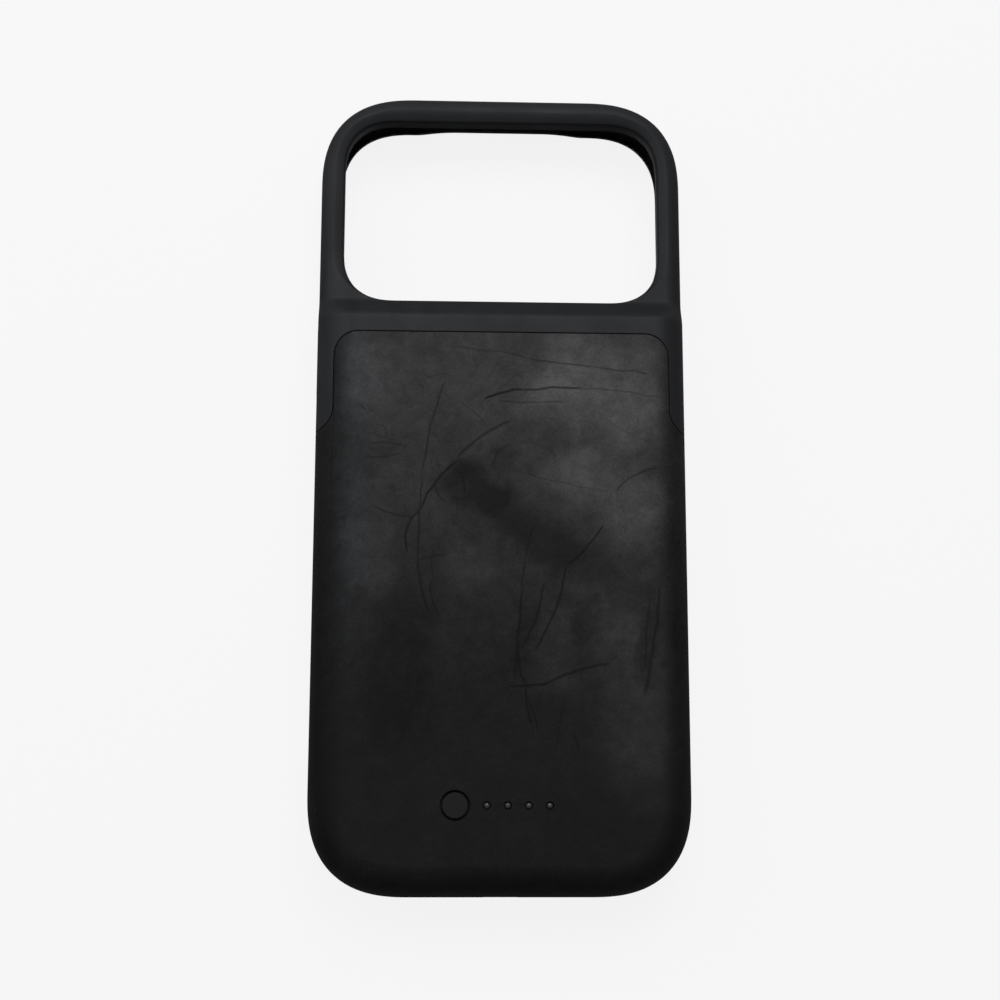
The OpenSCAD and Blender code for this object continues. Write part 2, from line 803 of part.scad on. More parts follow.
// The moulded carrier that holds the plug in the bulkhead of the chin
module plug_carrier() {
    color("#28282a") difference() {
        union() {
            long_slot(0, phone_mid_z, nose_w, nose_h, bulkhead_y - eps, cavity_foot_y - drop_gap);
            translate([-carrier_w / 2, carrier_back_y, phone_mid_z - carrier_h / 2])
                cube([carrier_w, bulkhead_y - carrier_back_y, carrier_h]);
        }
        long_slot(0, phone_mid_z, plug_w + 2 * insert_gap, plug_h + 2 * insert_gap,
            cavity_foot_y - plug_sink - insert_gap, cavity_foot_y + over);
    }
}

module plug_board() {
    color("#1f5b3a") translate([-plug_board_w / 2, carrier_back_y - plug_board_t, plug_board_z[0]])
        cube([plug_board_w, plug_board_t, plug_board_z[1] - plug_board_z[0]]);
}

// The flexible strip from the plug board up to the main board
module flex_cable() {
    color("#b5702e") translate([flex_x, carrier_back_y, 0]) {
        translate([0, 0, plug_board_z[0] + flex_start])
            cube([flex_w, flex_t, board_z - plug_board_z[0] - flex_start]);
        translate([0, 0, board_z - flex_t]) cube([flex_w, flex_run, flex_t]);
    }
}

// The pouch cell: round long edges and a flat foot where its terminals leave
module battery_cell() {
    r = cell_edge_r;
    color("#8d9093") translate([0, cell_foot_y + cell_l, cell_z + cell_t / 2]) rotate([90, 0, 0])
        linear_extrude(cell_l) {
            square([cell_w - 2 * r, cell_t], center = true);
            square([cell_w, cell_t - 2 * r], center = true);
            for (x = [-1, 1], z = [-1, 1]) translate([x * (cell_w / 2 - r), z * (cell_t / 2 - r)]) circle(r);
        }
}

module battery_tape() {
    color("#d9d9d2") translate([-tape_w / 2, cell_foot_y + (cell_l - tape_l) / 2, roof_z - tape_t])
        cube([tape_w, tape_l, tape_t]);
}

module protection_board() {
    color("#1f5b3a") translate([-protection_w / 2, cell_foot_y - protection_l, board_z])
        cube([protection_w, protection_l, board_t]);
}

// Two nickel tabs from the protection board to the main board
module battery_tabs() {
    color("#c4c6c9") for (s = [-1, 1])
        translate([s * tab_x - tab_w / 2, cell_foot_y - tab_lap - tab_l, board_top_z])
            cube([tab_w, tab_l, tab_t]);
}

upper_frame();
back_housing();
inner_plate();
chin_cover();
status_button();
light_guide();
switch_body();
switch_plunger();
main_board();
led(0);  // led_1
led(1);  // led_2
led(2);  // led_3
led(3);  // led_4
charge_chip();
boost_chip();
power_inductor();
capacitors();
board_screws();
inlet_shell();
inlet_tongue();
plug_shell();
plug_core();
plug_carrier();
plug_board();
flex_cable();
battery_cell();
battery_tape();
protection_board();
battery_tabs();
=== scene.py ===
"""Visual model of a battery charging case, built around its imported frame.

The pieces are modelled in millimetres and scaled to metres as their last step.
"""
import math
from functools import partial

import bmesh
import bpy
from mathutils import Euler, Matrix, Vector


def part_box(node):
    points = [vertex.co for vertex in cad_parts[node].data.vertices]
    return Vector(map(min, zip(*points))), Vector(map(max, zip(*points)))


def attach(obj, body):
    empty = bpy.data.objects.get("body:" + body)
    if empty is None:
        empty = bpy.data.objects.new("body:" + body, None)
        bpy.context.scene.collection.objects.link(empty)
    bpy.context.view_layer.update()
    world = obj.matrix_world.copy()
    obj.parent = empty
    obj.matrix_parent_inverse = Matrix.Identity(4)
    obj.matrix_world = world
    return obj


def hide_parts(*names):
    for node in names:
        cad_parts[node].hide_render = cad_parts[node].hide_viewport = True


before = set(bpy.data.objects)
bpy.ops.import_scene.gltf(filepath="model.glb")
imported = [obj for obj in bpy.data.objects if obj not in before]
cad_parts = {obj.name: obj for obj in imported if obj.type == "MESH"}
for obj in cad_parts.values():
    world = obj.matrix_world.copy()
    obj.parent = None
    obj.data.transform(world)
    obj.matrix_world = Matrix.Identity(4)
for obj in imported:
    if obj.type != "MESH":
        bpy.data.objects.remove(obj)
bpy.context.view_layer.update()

bl_info = {
    "name": "Battery charging case",
    "version": (1, 0, 0),
    "blender": (4, 5, 0),
    "location": "View3D > Sidebar > Case",
    "description": "Models a phone case with a battery hump, a camera window, a button and charge lights",
    "category": "Object",
}

MM = 1000

# Shape of every flowing corner: 0.5 would be a plain arc
FLOWING = 0.5807
ROUND = 0.5
# Steps round the corners of the outline, across the edges of the back and down the slope
CORNER_STEPS = 28
EDGE_STEPS = 12
SLOPE_RINGS = 14
# A height inside every ring of the slope
MIDDLE_Z = 7.0
# How far a rounded cutter ends above the surface that it opens
PROUD = 0.006
# Points closer than this lie in the same place
NEAR = 1e-3
# Half the flat that is left between the two arcs at the end of a slot
SLOT_FLAT = 0.01
# Degrees between two faces past which the edge between them stays sharp
CREASE = 32

# Sizes in millimetres that no packed box gives. Clearances of seats, of caps and round the phone
DROP_GAP = 0.1
REST_GAP = 0.05
PHONE_GAP = 0.15
BUTTON_FIT = 0.07
LIGHT_FIT = 0.08
# Walls of the phone's cavity, the battery bay, the chin and its cover
TOP_WALL = 2.3
CAVITY_CORNER = 17.15
CAVITY_EDGE = 0.4
BAY_EDGE = 1.4
BAY_WALL = 2
BULKHEAD = 2
CHIN_WALL = 3.2
CHIN_STEP = 3.4
COVER_LEDGE = 0.8
# Tongue of the housing under the frame
TONGUE_SIDE = 3.4
TONGUE_COVER = 2.2
TONGUE_ROOT = 3
TONGUE_R = 2.5
TONGUE_WALL = 1.6
# Number of charge lights
LIGHTS = 4
# Side pads: side, distance below the top of the phone, and length
PADS = ((1, 35, 5.6), (1, 48, 10.6), (1, 62, 10.6), (-1, 55, 16.6))


# Colours and sizes

def linear(text):
    """Linear red, green, blue and alpha of an sRGB hex colour."""
    values = [int(text[i:i + 2], 16) / 255 for i in (1, 3, 5)]
    return [v / 12.92 if v <= 0.04045 else ((v + 0.055) / 1.055) ** 2.4 for v in values] + [1.0]


def length(name, default, description):
    return bpy.props.FloatProperty(name=name, description=description, default=default / MM,
                                   min=0, unit="LENGTH", precision=5)


def colour(name, default, description):
    return bpy.props.FloatVectorProperty(name=name, description=description, size=4, min=0, max=1,
                                         default=linear(default), subtype="COLOR")


class CaseSizes(bpy.types.PropertyGroup):
    """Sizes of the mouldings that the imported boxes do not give."""
    corner: length("Corner reach", 20.3, "How far a corner of the outline bends along each edge")
    hump_edge: length("Hump edge", 6.6, "Radius along the edges of the back")
    camera_edge: length("Camera frame edge", 3.7, "Radius along the edges of the camera frame")
    front_edge: length("Front edge", 1.4, "Radius along the front edges")
    camera_h: length("Camera frame height", 13.9, "Height of the camera frame over the front lip")
    slope_start: length("Slope start", 0.6, "Distance from the window's foot line up to the slope")
    slope_l: length("Slope length", 5.6, "Length of the slope from the camera frame up to the hump")
    window_w: length("Window width", 66.3, "Width of the camera window")
    window_l: length("Window length", 39.7, "Length of the camera window")
    window_inset: length("Window inset", 5.9, "Distance from the top of the case to the window")
    window_corner: length("Window corner", 11.6, "Reach of a window corner")
    bead_w: length("Bead width", 2.5, "Width of the slope that leads into the window")
    bead_drop: length("Bead depth", 1.0, "Depth of the slope that leads into the window")
    lip: length("Lip", 1.2, "Height of the lip over the screen")
    lip_edge: length("Lip edge", 0.45, "Radius along the inner edge of the lip")
    seam_drop: length("Seam place", 8.2, "Distance from the window to the seam across the back")
    leg_w: length("Leg width", 3.85, "Width of the side legs of the frame")
    leg_l: length("Leg length", 20.4, "Length of the side legs of the frame")
    seam_corner: length("Seam corner", 5.0, "Radius of the seam corners on the back")
    leg_end: length("Leg end", 4.4, "Radius of the ends of the legs")
    seam_gap: length("Seam gap", 0.1, "Width of the seam")
    seam_edge: length("Seam edge", 0.18, "Radius along both edges of the seam")
    button_d: length("Button", 5.0, "Diameter of the button cap")
    button_ring: length("Button ring", 6.1, "Diameter of the recess round the button")
    light_d: length("Light", 1.6, "Diameter of a charge light")
    light_pitch: length("Light pitch", 4.1, "Distance between the charge lights")
    pad_h: length("Pad width", 3.6, "Width of the side pads")
    pad_rise: length("Pad rise", 0.45, "How far the side pads stand out")


class CaseColours(bpy.types.PropertyGroup):
    """Colours of the finishes that show."""
    coating: colour("Coating", "#0D0D0E", "Soft coating of the back housing")
    # The film's colour, which also paints the lamp's sheen on the back
    dust_and_sheen: colour("Dust", "#666465", "Film of dust and skin oil on the back")
    # Painted sheen: a bluish tint for the film along the left edge of the back
    bluish_sheen_tint: colour("Fresh dust", "#616468", "Bluish dust along the left edge of the back")
    elastomer: colour("Elastomer", "#13151A", "Soft moulding of the upper frame")
    # Also used as painted light: the frame's left side is painted greyer than its right
    bloom_and_left_light: colour("Bloom", "#1F2125", "Dry, greyed skin of the upper frame")
    button: colour("Button", "#151516", "Cap of the status button")
    lens: colour("Light guide", "#494A4B", "Smoked light guide")


def mm(name):
    """A size of the case in millimetres."""
    return getattr(bpy.context.scene.case_sizes, name) * MM


def tint(name):
    """A colour of the case, linear."""
    return tuple(getattr(bpy.context.scene.case_colours, name))


def in_mm(corners):
    """The corners of a box in millimetres."""
    return [corner * MM for corner in corners]


class Places:
    """Places in millimetres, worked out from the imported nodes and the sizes."""

    def __init__(self):
        low, high = in_mm(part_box("back_housing"))
        self.half_w = high.x
        self.foot_y = low.y
        self.case_h = high.z
        self.tongue_y = high.y
        self.top_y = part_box("upper_frame")[1].y * MM
        plate_low, plate_high = in_mm(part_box("inner_plate"))
        self.cavity_z = plate_low.z
        self.plate_z = plate_high.z
        self.cavity_hw = plate_high.x + DROP_GAP
        self.cavity_foot = plate_low.y - DROP_GAP
        self.cavity_top = self.top_y - TOP_WALL
        self.bulkhead_y = self.cavity_foot - BULKHEAD
        self.roof_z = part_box("battery_tape")[1].z * MM
        self.phone_z = sum(corner.z * MM / 2 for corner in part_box("plug_shell"))
        self.button = sum(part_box("status_button"), Vector()) / 2 * MM
        self.window_top = self.top_y - mm("window_inset")
        self.window_foot = self.window_top - mm("window_l")
        self.slope_foot = self.window_foot + mm("slope_start")
        self.slope_crest = self.slope_foot - mm("slope_l")
        self.seam_y = self.window_foot - mm("seam_drop")
        self.leg_x = self.half_w - mm("leg_w")
        self.leg_end_y = self.seam_y - mm("leg_l")

    def light_places(self):
        """Across the case, the middle of each charge light."""
        low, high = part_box("light_guide")
        middle = (low.x + high.x) / 2 * MM
        return [middle + (i - (LIGHTS - 1) / 2) * mm("light_pitch") for i in range(LIGHTS)]


# Modelling by hand

def only(obj):
    """The piece alone selected and active, in object mode."""
    if bpy.context.object and bpy.context.object.mode == "EDIT":
        bpy.ops.object.mode_set(mode="OBJECT")
    bpy.ops.object.select_all(action="DESELECT")
    obj.select_set(True)
    bpy.context.view_layer.objects.active = obj


def added(name):
    """The primitive just added, with its place in its mesh."""
    obj = bpy.context.object
    obj.name = obj.data.name = name
    bpy.ops.object.transform_apply()
    return obj


def block(name, low, high):
    low, high = Vector(low), Vector(high)
    bpy.ops.mesh.primitive_cube_add(size=1, location=(low + high) / 2, scale=high - low)
    return added(name)


def drum(name, centre, radius, z0, z1, sides):
    bpy.ops.mesh.primitive_cylinder_add(vertices=sides, radius=radius, depth=z1 - z0,
                                        location=(centre[0], centre[1], (z0 + z1) / 2))
    return added(name)


def editing(obj, kind="EDGE"):
    """Edit mode with nothing selected."""
    only(obj)
    bpy.ops.object.mode_set(mode="EDIT")
    bpy.ops.mesh.select_mode(type=kind)
    bpy.ops.mesh.select_all(action="DESELECT")


def pick(obj, test, kind="EDGE"):
    """Edit mode with only those edges or faces selected that pass the test."""
    editing(obj, kind)
    mesh = bmesh.from_edit_mesh(obj.data)
    count = 0
    for item in (mesh.edges if kind == "EDGE" else mesh.faces):
        if test(item):
            item.select_set(True)
            count += 1
    bmesh.update_edit_mesh(obj.data)
    if not count:
        raise RuntimeError(f"nothing to select on {obj.name}")


def done():
    bpy.ops.object.mode_set(mode="OBJECT")


def upright(edge):
    a, b = (v.co for v in edge.verts)
    return (a.xy - b.xy).length < NEAR / 10


def every(item):
    return True


def at_height(z):
    return lambda item: all(abs(v.co.z - z) < NEAR for v in item.verts)


def bevel(reach, segments, profile=ROUND):
    """Rounds the selected edges and leaves edit mode."""
    bpy.ops.mesh.bevel(offset=reach, segments=segments, profile=profile)
    done()


def raise_faces(y, z):
    """Extrudes the selected faces."""
    bpy.ops.mesh.extrude_region_move(TRANSFORM_OT_translate={"value": (0, y, z)})


def round_edges(obj, test, radius, segments, profile=ROUND):
    pick(obj, test)
    bevel(radius, segments, profile)
    return obj


def flowing_block(name, low, high, reach, segments=24):
    """An upright block with flowing corners of the given reach."""
    return round_edges(block(name, low, high), upright, reach, segments, FLOWING)


def cut(obj, place, normal, **kept):
    """Cuts the skin of the piece along a plane."""
    pick(obj, every, "FACE")
    bpy.ops.mesh.bisect(plane_co=place, plane_no=normal, **kept)
    done()


def slice_off(obj, y, keep_low, fill=True):
    """Cuts the piece across its length and keeps one side."""
    cut(obj, (0, y, 0), (0, 1, 0), use_fill=fill, clear_outer=keep_low, clear_inner=not keep_low)
    return obj


def flare(obj, z, core, profile, fade=None):
    """Extrudes the end face at height z step by step and spreads it from its core, the
    rectangle between the centres of its corners. The profile lists spread and height."""
    x0, x1, y0, y1 = core
    before = 0
    for spread, height in profile:
        pick(obj, at_height(z), "FACE")
        raise_faces(0, height - z)
        mesh = bmesh.from_edit_mesh(obj.data)
        for v in [v for v in mesh.verts if v.select]:
            centre = Vector((min(max(v.co.x, x0), x1), min(max(v.co.y, y0), y1)))
            arm = v.co.xy - centre
            share = fade(v.co.y) if fade else 1
            v.co.xy = centre + arm.normalized() * (arm.length + (spread - before) * share)
        bmesh.update_edit_mesh(obj.data)
        done()
        z, before = height, spread
    return obj


def combine(piece, other, operation="DIFFERENCE"):
    """Cuts, joins or intersects the piece with another, which is then removed."""
    only(piece)
    step = piece.modifiers.new(operation, "BOOLEAN")
    step.operation = operation
    step.object = other
    step.solver = "EXACT"
    bpy.ops.object.modifier_apply(modifier=step.name)
    bpy.data.meshes.remove(other.data)
    return piece


def tidy(obj, distance=0.004):
    """Merges points that a cut has left on top of each other."""
    pick(obj, every, "FACE")
    bpy.ops.mesh.remove_doubles(threshold=distance)
    bpy.ops.mesh.normals_make_consistent()
    done()
    return obj


def turn(obj, angles, place):
    """Turns a piece about the origin and moves it, with the result in its mesh."""
    turned = Euler([math.radians(a) for a in angles]).to_matrix().to_4x4()
    obj.data.transform(Matrix.Translation(place) @ turned)
    return obj


def closed(obj):
    """Stops the script if a cut has left the skin of the piece open or inside out."""
    mesh = bmesh.new()
    mesh.from_mesh(obj.data)
    if any(not edge.is_manifold for edge in mesh.edges) or mesh.calc_volume(signed=True) <= 0:
        raise RuntimeError(f"{obj.name} is not a closed skin")
    mesh.free()


def finished(obj, material, body, slot, *nodes):
    """Scales the piece to metres, shades it, dresses it and hangs it on its body."""
    closed(obj)
    only(obj)
    obj.scale = (1 / MM, 1 / MM, 1 / MM)
    bpy.ops.object.transform_apply()
    obj.data.materials.clear()
    obj.data.materials.append(material)
    bpy.ops.object.shade_smooth_by_angle(angle=math.radians(CREASE))
    step = obj.modifiers.new("Weighted normals", "WEIGHTED_NORMAL")
    step.keep_sharp = True
    step.weight = 80
    bpy.ops.object.modifier_apply(modifier=step.name)
    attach(obj, body)
    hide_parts(*nodes)


# Shared forms

def outline(name, p, inset, z0, z1, segments=24):
    """The outline of the case as a block, set in from its walls."""
    return flowing_block(name, (-p.half_w + inset, p.foot_y + inset, z0),
                         (p.half_w - inset, p.top_y - inset, z1), mm("corner") - inset, segments)


def rounded_case(name, p, height, edge):
    """The outline raised to a height and rounded along its back and its front."""
    form = outline(name, p, 0, 0, height, CORNER_STEPS)
    round_edges(form, at_height(height), edge, EDGE_STEPS)
    return round_edges(form, at_height(0), mm("front_edge"), 5)


def case_form(p):
    """Hump and camera frame as two rounded blocks, bridged by the slope between them."""
    hump = slice_off(rounded_case("hump", p, p.case_h, mm("hump_edge")), p.slope_crest, True, False)
    top = slice_off(rounded_case("camera_end", p, mm("camera_h"), mm("camera_edge")),
                    p.slope_foot, False, False)
    only(hump)
    top.select_set(True)
    bpy.ops.object.join()
    pick(hump, lambda edge: edge.is_boundary)
    bpy.ops.mesh.bridge_edge_loops(number_cuts=SLOPE_RINGS - 1, interpolation="LINEAR")
    ease_slope(hump, p.slope_crest, p.slope_foot)
    done()
    return tidy(hump, 0.002)


def ease_slope(form, crest, foot):
    """Gives the rings of the straight bridge the smooth rise of the slope."""
    mesh = bmesh.from_edit_mesh(form.data)

    def ring(k):
        y = crest + (foot - crest) * k / SLOPE_RINGS
        found = [v for v in mesh.verts if abs(v.co.y - y) < 0.01]
        return sorted(found, key=lambda v: math.atan2(v.co.z - MIDDLE_Z, v.co.x))
    start, end = ring(0), ring(SLOPE_RINGS)
    for k in range(1, SLOPE_RINGS):
        t = k / SLOPE_RINGS
        for v, a, b in zip(ring(k), start, end, strict=True):
            v.co.xz = a.co.lerp(b.co, t * t * (3 - 2 * t)).xz
    bmesh.update_edit_mesh(form.data)


def housing_prism(p, gap):
    """The space of the back housing seen from the back, grown by a gap."""
    far, z0, z1 = 90, -5, 25
    side, top, end = p.leg_x + gap, p.seam_y + gap, p.leg_end_y + gap
    prism = block("prism", (-far, -2 * far, z0), (far, end, z1))
    for x in (-side, side):
        cut(prism, (x, 0, 0), (1, 0, 0))
    pick(prism, lambda face: face.normal.y > 0.9 and abs(face.calc_center_median().x) < side, "FACE")
    raise_faces(top - end, 0)
    done()

    def corner(edge, y):
        return upright(edge) and abs(edge.verts[0].co.y - y) < NEAR
    round_edges(prism, lambda e: corner(e, top), mm("seam_corner") + gap, EDGE_STEPS)
    return round_edges(prism, lambda e: corner(e, end) and abs(abs(e.verts[0].co.x) - side) < NEAR,
                       mm("leg_end") - gap, EDGE_STEPS)


def soften_seam(obj):
    """Rounds the sharp edges that the seam has left on the smooth form."""
    sharp, close = 48, 0.06
    tidy(obj, close)
    editing(obj)
    bpy.ops.mesh.edges_select_sharp(sharpness=math.radians(sharp))
    bevel(mm("seam_edge"), 3)


def quarter_round(radius, z, steps=4, up=True):
    """A profile for flare that rounds the edge where a hole meets a surface at height z."""
    sign = 1 if up else -1
    result = []
    for k in range(1, steps + 1):
        a = math.radians(90 * k / steps)
        result.append((radius * (1 - math.cos(a)), z + sign * (PROUD - radius * (1 - math.sin(a)))))
    result.append((radius, z + sign * 2))
    return result


def phone_cavity(p):
    """The space of the phone, with the shallow seat of the inner plate above it."""
    cavity = flowing_block("cavity", (-p.cavity_hw, p.cavity_foot, mm("lip")),
                           (p.cavity_hw, p.cavity_top, p.cavity_z), CAVITY_CORNER)
    round_edges(cavity, at_height(mm("lip")), CAVITY_EDGE, 2)
    seat_end = p.tongue_y + DROP_GAP
    cut(cavity, (0, seat_end, 0), (0, 1, 0))
    pick(cavity, lambda f: f.normal.z > 0.9 and f.calc_center_median().y < seat_end, "FACE")
    raise_faces(0, p.plate_z - p.cavity_z)
    done()
    return cavity


def screen_opening(p):
    """The opening in the lip with its earpiece notch and a rounded edge."""
    reach, side, top_reach = 15.5, 1.65, 1.15
    notch_depth, notch_hw, notch_mouth_hw, notch_r = 0.9, 12.5, 18.5, 3
    hw, foot, top = p.cavity_hw - side, p.cavity_foot + side, p.cavity_top - top_reach
    floor = top + notch_depth
    r = mm("lip_edge")
    opening = flowing_block("opening", (-hw, foot, r), (hw, top, mm("lip") + 1), reach)
    flare(opening, r, (-hw + reach, hw - reach, foot + reach, top - reach), quarter_round(r, 0, up=False))
    notch = block("notch", (-notch_mouth_hw, top - 2, -2), (notch_mouth_hw, floor, mm("lip") + 1))
    pick(notch, lambda e: upright(e) and e.verts[0].co.y > top)
    bevel(notch_depth, 1)
    # The bevel has cut two corners off, which become the long ramps at the ends of the notch
    mesh = bmesh.new()
    mesh.from_mesh(notch.data)
    for v in mesh.verts:
        if v.co.y > floor - 0.05:
            v.co.x = math.copysign(notch_hw, v.co.x)
        elif v.co.y > top - 0.1:
            v.co.y = top
    mesh.to_mesh(notch.data)
    mesh.free()
    round_edges(notch, lambda e: upright(e) and e.verts[0].co.y > floor - 0.1, notch_r, 5)
    return combine(opening, notch, "UNION")


def tongue(p, gap):
    """The tongue of the housing that carries the frame, grown by a gap."""
    hw, z1 = p.leg_x - TONGUE_SIDE + gap, p.case_h - TONGUE_COVER + gap
    part = block("tongue", (-hw, p.seam_y - TONGUE_ROOT, p.plate_z), (hw, p.tongue_y + gap, z1))
    return round_edges(part, lambda e: upright(e) and e.verts[0].co.y > p.seam_y, TONGUE_R, 8)


def window(p):
    """The camera window with its bead, which fades out towards the hump."""
    hw, foot, top, reach = mm("window_w") / 2, p.window_foot, p.window_top, mm("window_corner")
    drop_z, rise = mm("camera_h") - mm("bead_drop"), mm("bead_drop")
    fade_l, least, curve, foot_edge, proud, steps = 9, 0.12, 1.45, 0.55, 0.004, 8
    opening = flowing_block("window", (-hw, foot, mm("lip") + 3), (hw, top, drop_z), reach)

    def fade(y):
        t = min(1, max(0, (y - foot) / fade_l))
        return least + (1 - least) * t * t * (3 - 2 * t)
    profile = [(mm("bead_w") * k / steps, drop_z + rise * (1 - (1 - k / steps) ** curve) + proud)
               for k in range(1, steps + 1)]
    profile.append((mm("bead_w") * 1.02, p.case_h + 1))
    flare(opening, drop_z, (-hw + reach, hw - reach, foot + reach, top - reach), profile, fade)
    return round_edges(opening, at_height(drop_z), foot_edge, 4)


def long_slot(width, height, depth, edge=0.0):
    """An upright bar with round ends, which cuts a slot. The slot's outer edge may be rounded."""
    r = height / 2 - SLOT_FLAT
    part = block("slot", (-width / 2, -height / 2, 0), (width / 2, height / 2, depth - edge))
    round_edges(part, upright, r, 10)
    if edge:
        core = (-width / 2 + r, width / 2 - r, -SLOT_FLAT, SLOT_FLAT)
        flare(part, depth - edge, core, quarter_round(edge, depth))
    return part


def side_slot(y, width, height, x0, x1, side, edge=0.0, z=0.0):
    """A slot that runs out through a side wall."""
    part = turn(long_slot(width, height, x1 - x0, edge), (90, 0, 90), (0, 0, 0))
    return turn(part, (0, 0, 0 if side > 0 else 180), (side * x0, y, z))


def foot_slot(x, z, width, height, y0, y1):
    """A slot that runs along the case through the chin."""
    return turn(long_slot(width, height, y1 - y0), (90, 0, 0), (x, y1, z))


# Materials

MATHS = "ShaderNodeMath"
VECTOR = "ShaderNodeVectorMath"
NOISE = "ShaderNodeTexNoise"
RANGE = "ShaderNodeMapRange"
SPLIT = "ShaderNodeSeparateXYZ"
PLACE = "ShaderNodeTexCoord"
MIX = "ShaderNodeMix"
COLOUR = {"data_type": "RGBA"}
CLAMP = {"use_clamp": True}
PLUS = {"operation": "ADD"}
TIMES = {"operation": "MULTIPLY"}
TIMES_PLUS = {"operation": "MULTIPLY_ADD"}
MINUS = {"operation": "SUBTRACT"}
SCALED = {"operation": "SCALE"}
LARGER = {"operation": "MAXIMUM"}
DOT = {"operation": "DOT_PRODUCT"}
SMOOTH = {"interpolation_type": "SMOOTHSTEP"}
WHITE = (1, 1, 1, 1)


def node(tree, kind, settings=None, **inputs):
    """Adds a node, sets its properties, and links or sets its inputs."""
    new = tree.nodes.new(kind)
    for key, value in (settings or {}).items():
        setattr(new, key, value)
    for key, value in inputs.items():
        name = key.replace("_", " ")
        socket = new.inputs[int(key[1:])] if key[0] == "i" and key[1:].isdigit() else new.inputs[name]
        if isinstance(value, bpy.types.Node):
            value = value.outputs[0]
        if isinstance(value, bpy.types.NodeSocket):
            tree.links.new(value, socket)
        else:
            socket.default_value = value
    return new


def at_hand(made):
    """A material's tree, the call that adds a node to it, its shader and the place on the piece."""
    tree = made.node_tree
    add = partial(node, tree)
    return tree, add, tree.nodes["Principled BSDF"], add(PLACE).outputs["Object"]


def cleared(made):
    """Empties the tree of a material or a world, and returns the call that adds a node to it."""
    made.use_nodes = True
    made.node_tree.nodes.clear()
    return partial(node, made.node_tree)


def rub_group():
    """One rub mark: a bowed line from start to end. It is full inside its core, soft out to its
    width, and fades at both ends. The place runs from mark to mark, with the mask so far in z."""
    tree = bpy.data.node_groups.new("rub mark", "ShaderNodeTree")
    for kind, names in (("Vector", "Place Start End"), ("Float", "Bow Width Core Fade Strength")):
        for name in names.split():
            tree.interface.new_socket(name, in_out="INPUT", socket_type="NodeSocket" + kind)
    tree.interface.new_socket("Place", in_out="OUTPUT", socket_type="NodeSocketVector")
    add = partial(node, tree)
    given = add("NodeGroupInput").outputs
    run = add(VECTOR, MINUS, i0=given["End"], i1=given["Start"])
    arm = add(VECTOR, MINUS, i0=given["Place"], i1=given["Start"])
    arm = add(VECTOR, TIMES, i0=arm, i1=(1, 1, 0))
    reach = add(VECTOR, DOT, i0=arm, i1=run).outputs["Value"]
    size = add(VECTOR, DOT, i0=run, i1=run).outputs["Value"]
    along = add(MATHS, {"operation": "DIVIDE", "use_clamp": True}, i0=reach, i1=size)
    across = add(VECTOR, {"operation": "CROSS_PRODUCT"}, i0=run, i1=(0, 0, 1))
    across = add(VECTOR, {"operation": "NORMALIZE"}, i0=across)
    # An arch that is 1 halfway along and 0 at both ends
    rest = add(MATHS, TIMES_PLUS, i0=along, i1=-4, i2=4)
    arch = add(MATHS, TIMES, i0=along, i1=rest)
    bow = add(MATHS, TIMES, i0=arch, i1=given["Bow"])
    bowed = add(VECTOR, SCALED, i0=across, Scale=bow)
    reached = add(VECTOR, TIMES_PLUS, i0=run, i1=along, i2=bowed)
    away = add(VECTOR, {"operation": "DISTANCE"}, i0=arm, i1=reached).outputs["Value"]
    soft = add(RANGE, SMOOTH, Value=away, i1=given["Width"], i2=given["Core"], i4=given["Strength"])
    ends = add(RANGE, SMOOTH, Value=arch, i2=given["Fade"])
    parts = add(SPLIT, i0=given["Place"]).outputs
    mask = add(MATHS, TIMES, i0=soft, i1=ends)
    mask = add(MATHS, LARGER, i0=mask, i1=parts[2])
    add("NodeGroupOutput", i0=add("ShaderNodeCombineXYZ", i0=parts[0], i1=parts[1], i2=mask))
    return tree


def rubbed(add, place, group, marks, core, fade=0.4):
    """The mask of all the marks of a list, laid one after the other."""
    for x0, y0, x1, y1, bow, width, strength in marks:
        place = add("ShaderNodeGroup", {"node_tree": group}, Place=place, Start=(x0, y0, 0),
                    End=(x1, y1, 0), Bow=bow, Width=width, Core=width * core, Fade=fade,
                    Strength=strength)
    return add(SPLIT, i0=place).outputs[2]


def finish_of(name, base, roughness, grain, depth=0.01, spread=0, mottle=6, **settings):
    """A material with a fine grain in its surface, and a slow drift of its roughness.
    Grain, depth and mottle, the width of the drift, are millimetres on the real piece."""
    made = bpy.data.materials.new(name)
    made.use_nodes = True
    tree, add, shader, where = at_hand(made)
    fine = add(NOISE, Vector=where, Scale=MM / grain, Detail=4)
    bump = add("ShaderNodeBump", Height=fine, Distance=depth / MM, Strength=0.6)
    tree.links.new(bump.outputs["Normal"], shader.inputs["Normal"])
    if spread:
        slow = add(NOISE, Vector=where, Scale=MM / mottle, Detail=3)
        drift = add(RANGE, Value=slow, i1=0.3, i2=0.7, i3=roughness - spread, i4=roughness + spread)
        tree.links.new(drift.outputs[0], shader.inputs["Roughness"])
    else:
        shader.inputs["Roughness"].default_value = roughness
    shader.inputs["Base Color"].default_value = base
    for key, value in settings.items():
        shader.inputs[key.replace("_", " ")].default_value = value
    return made
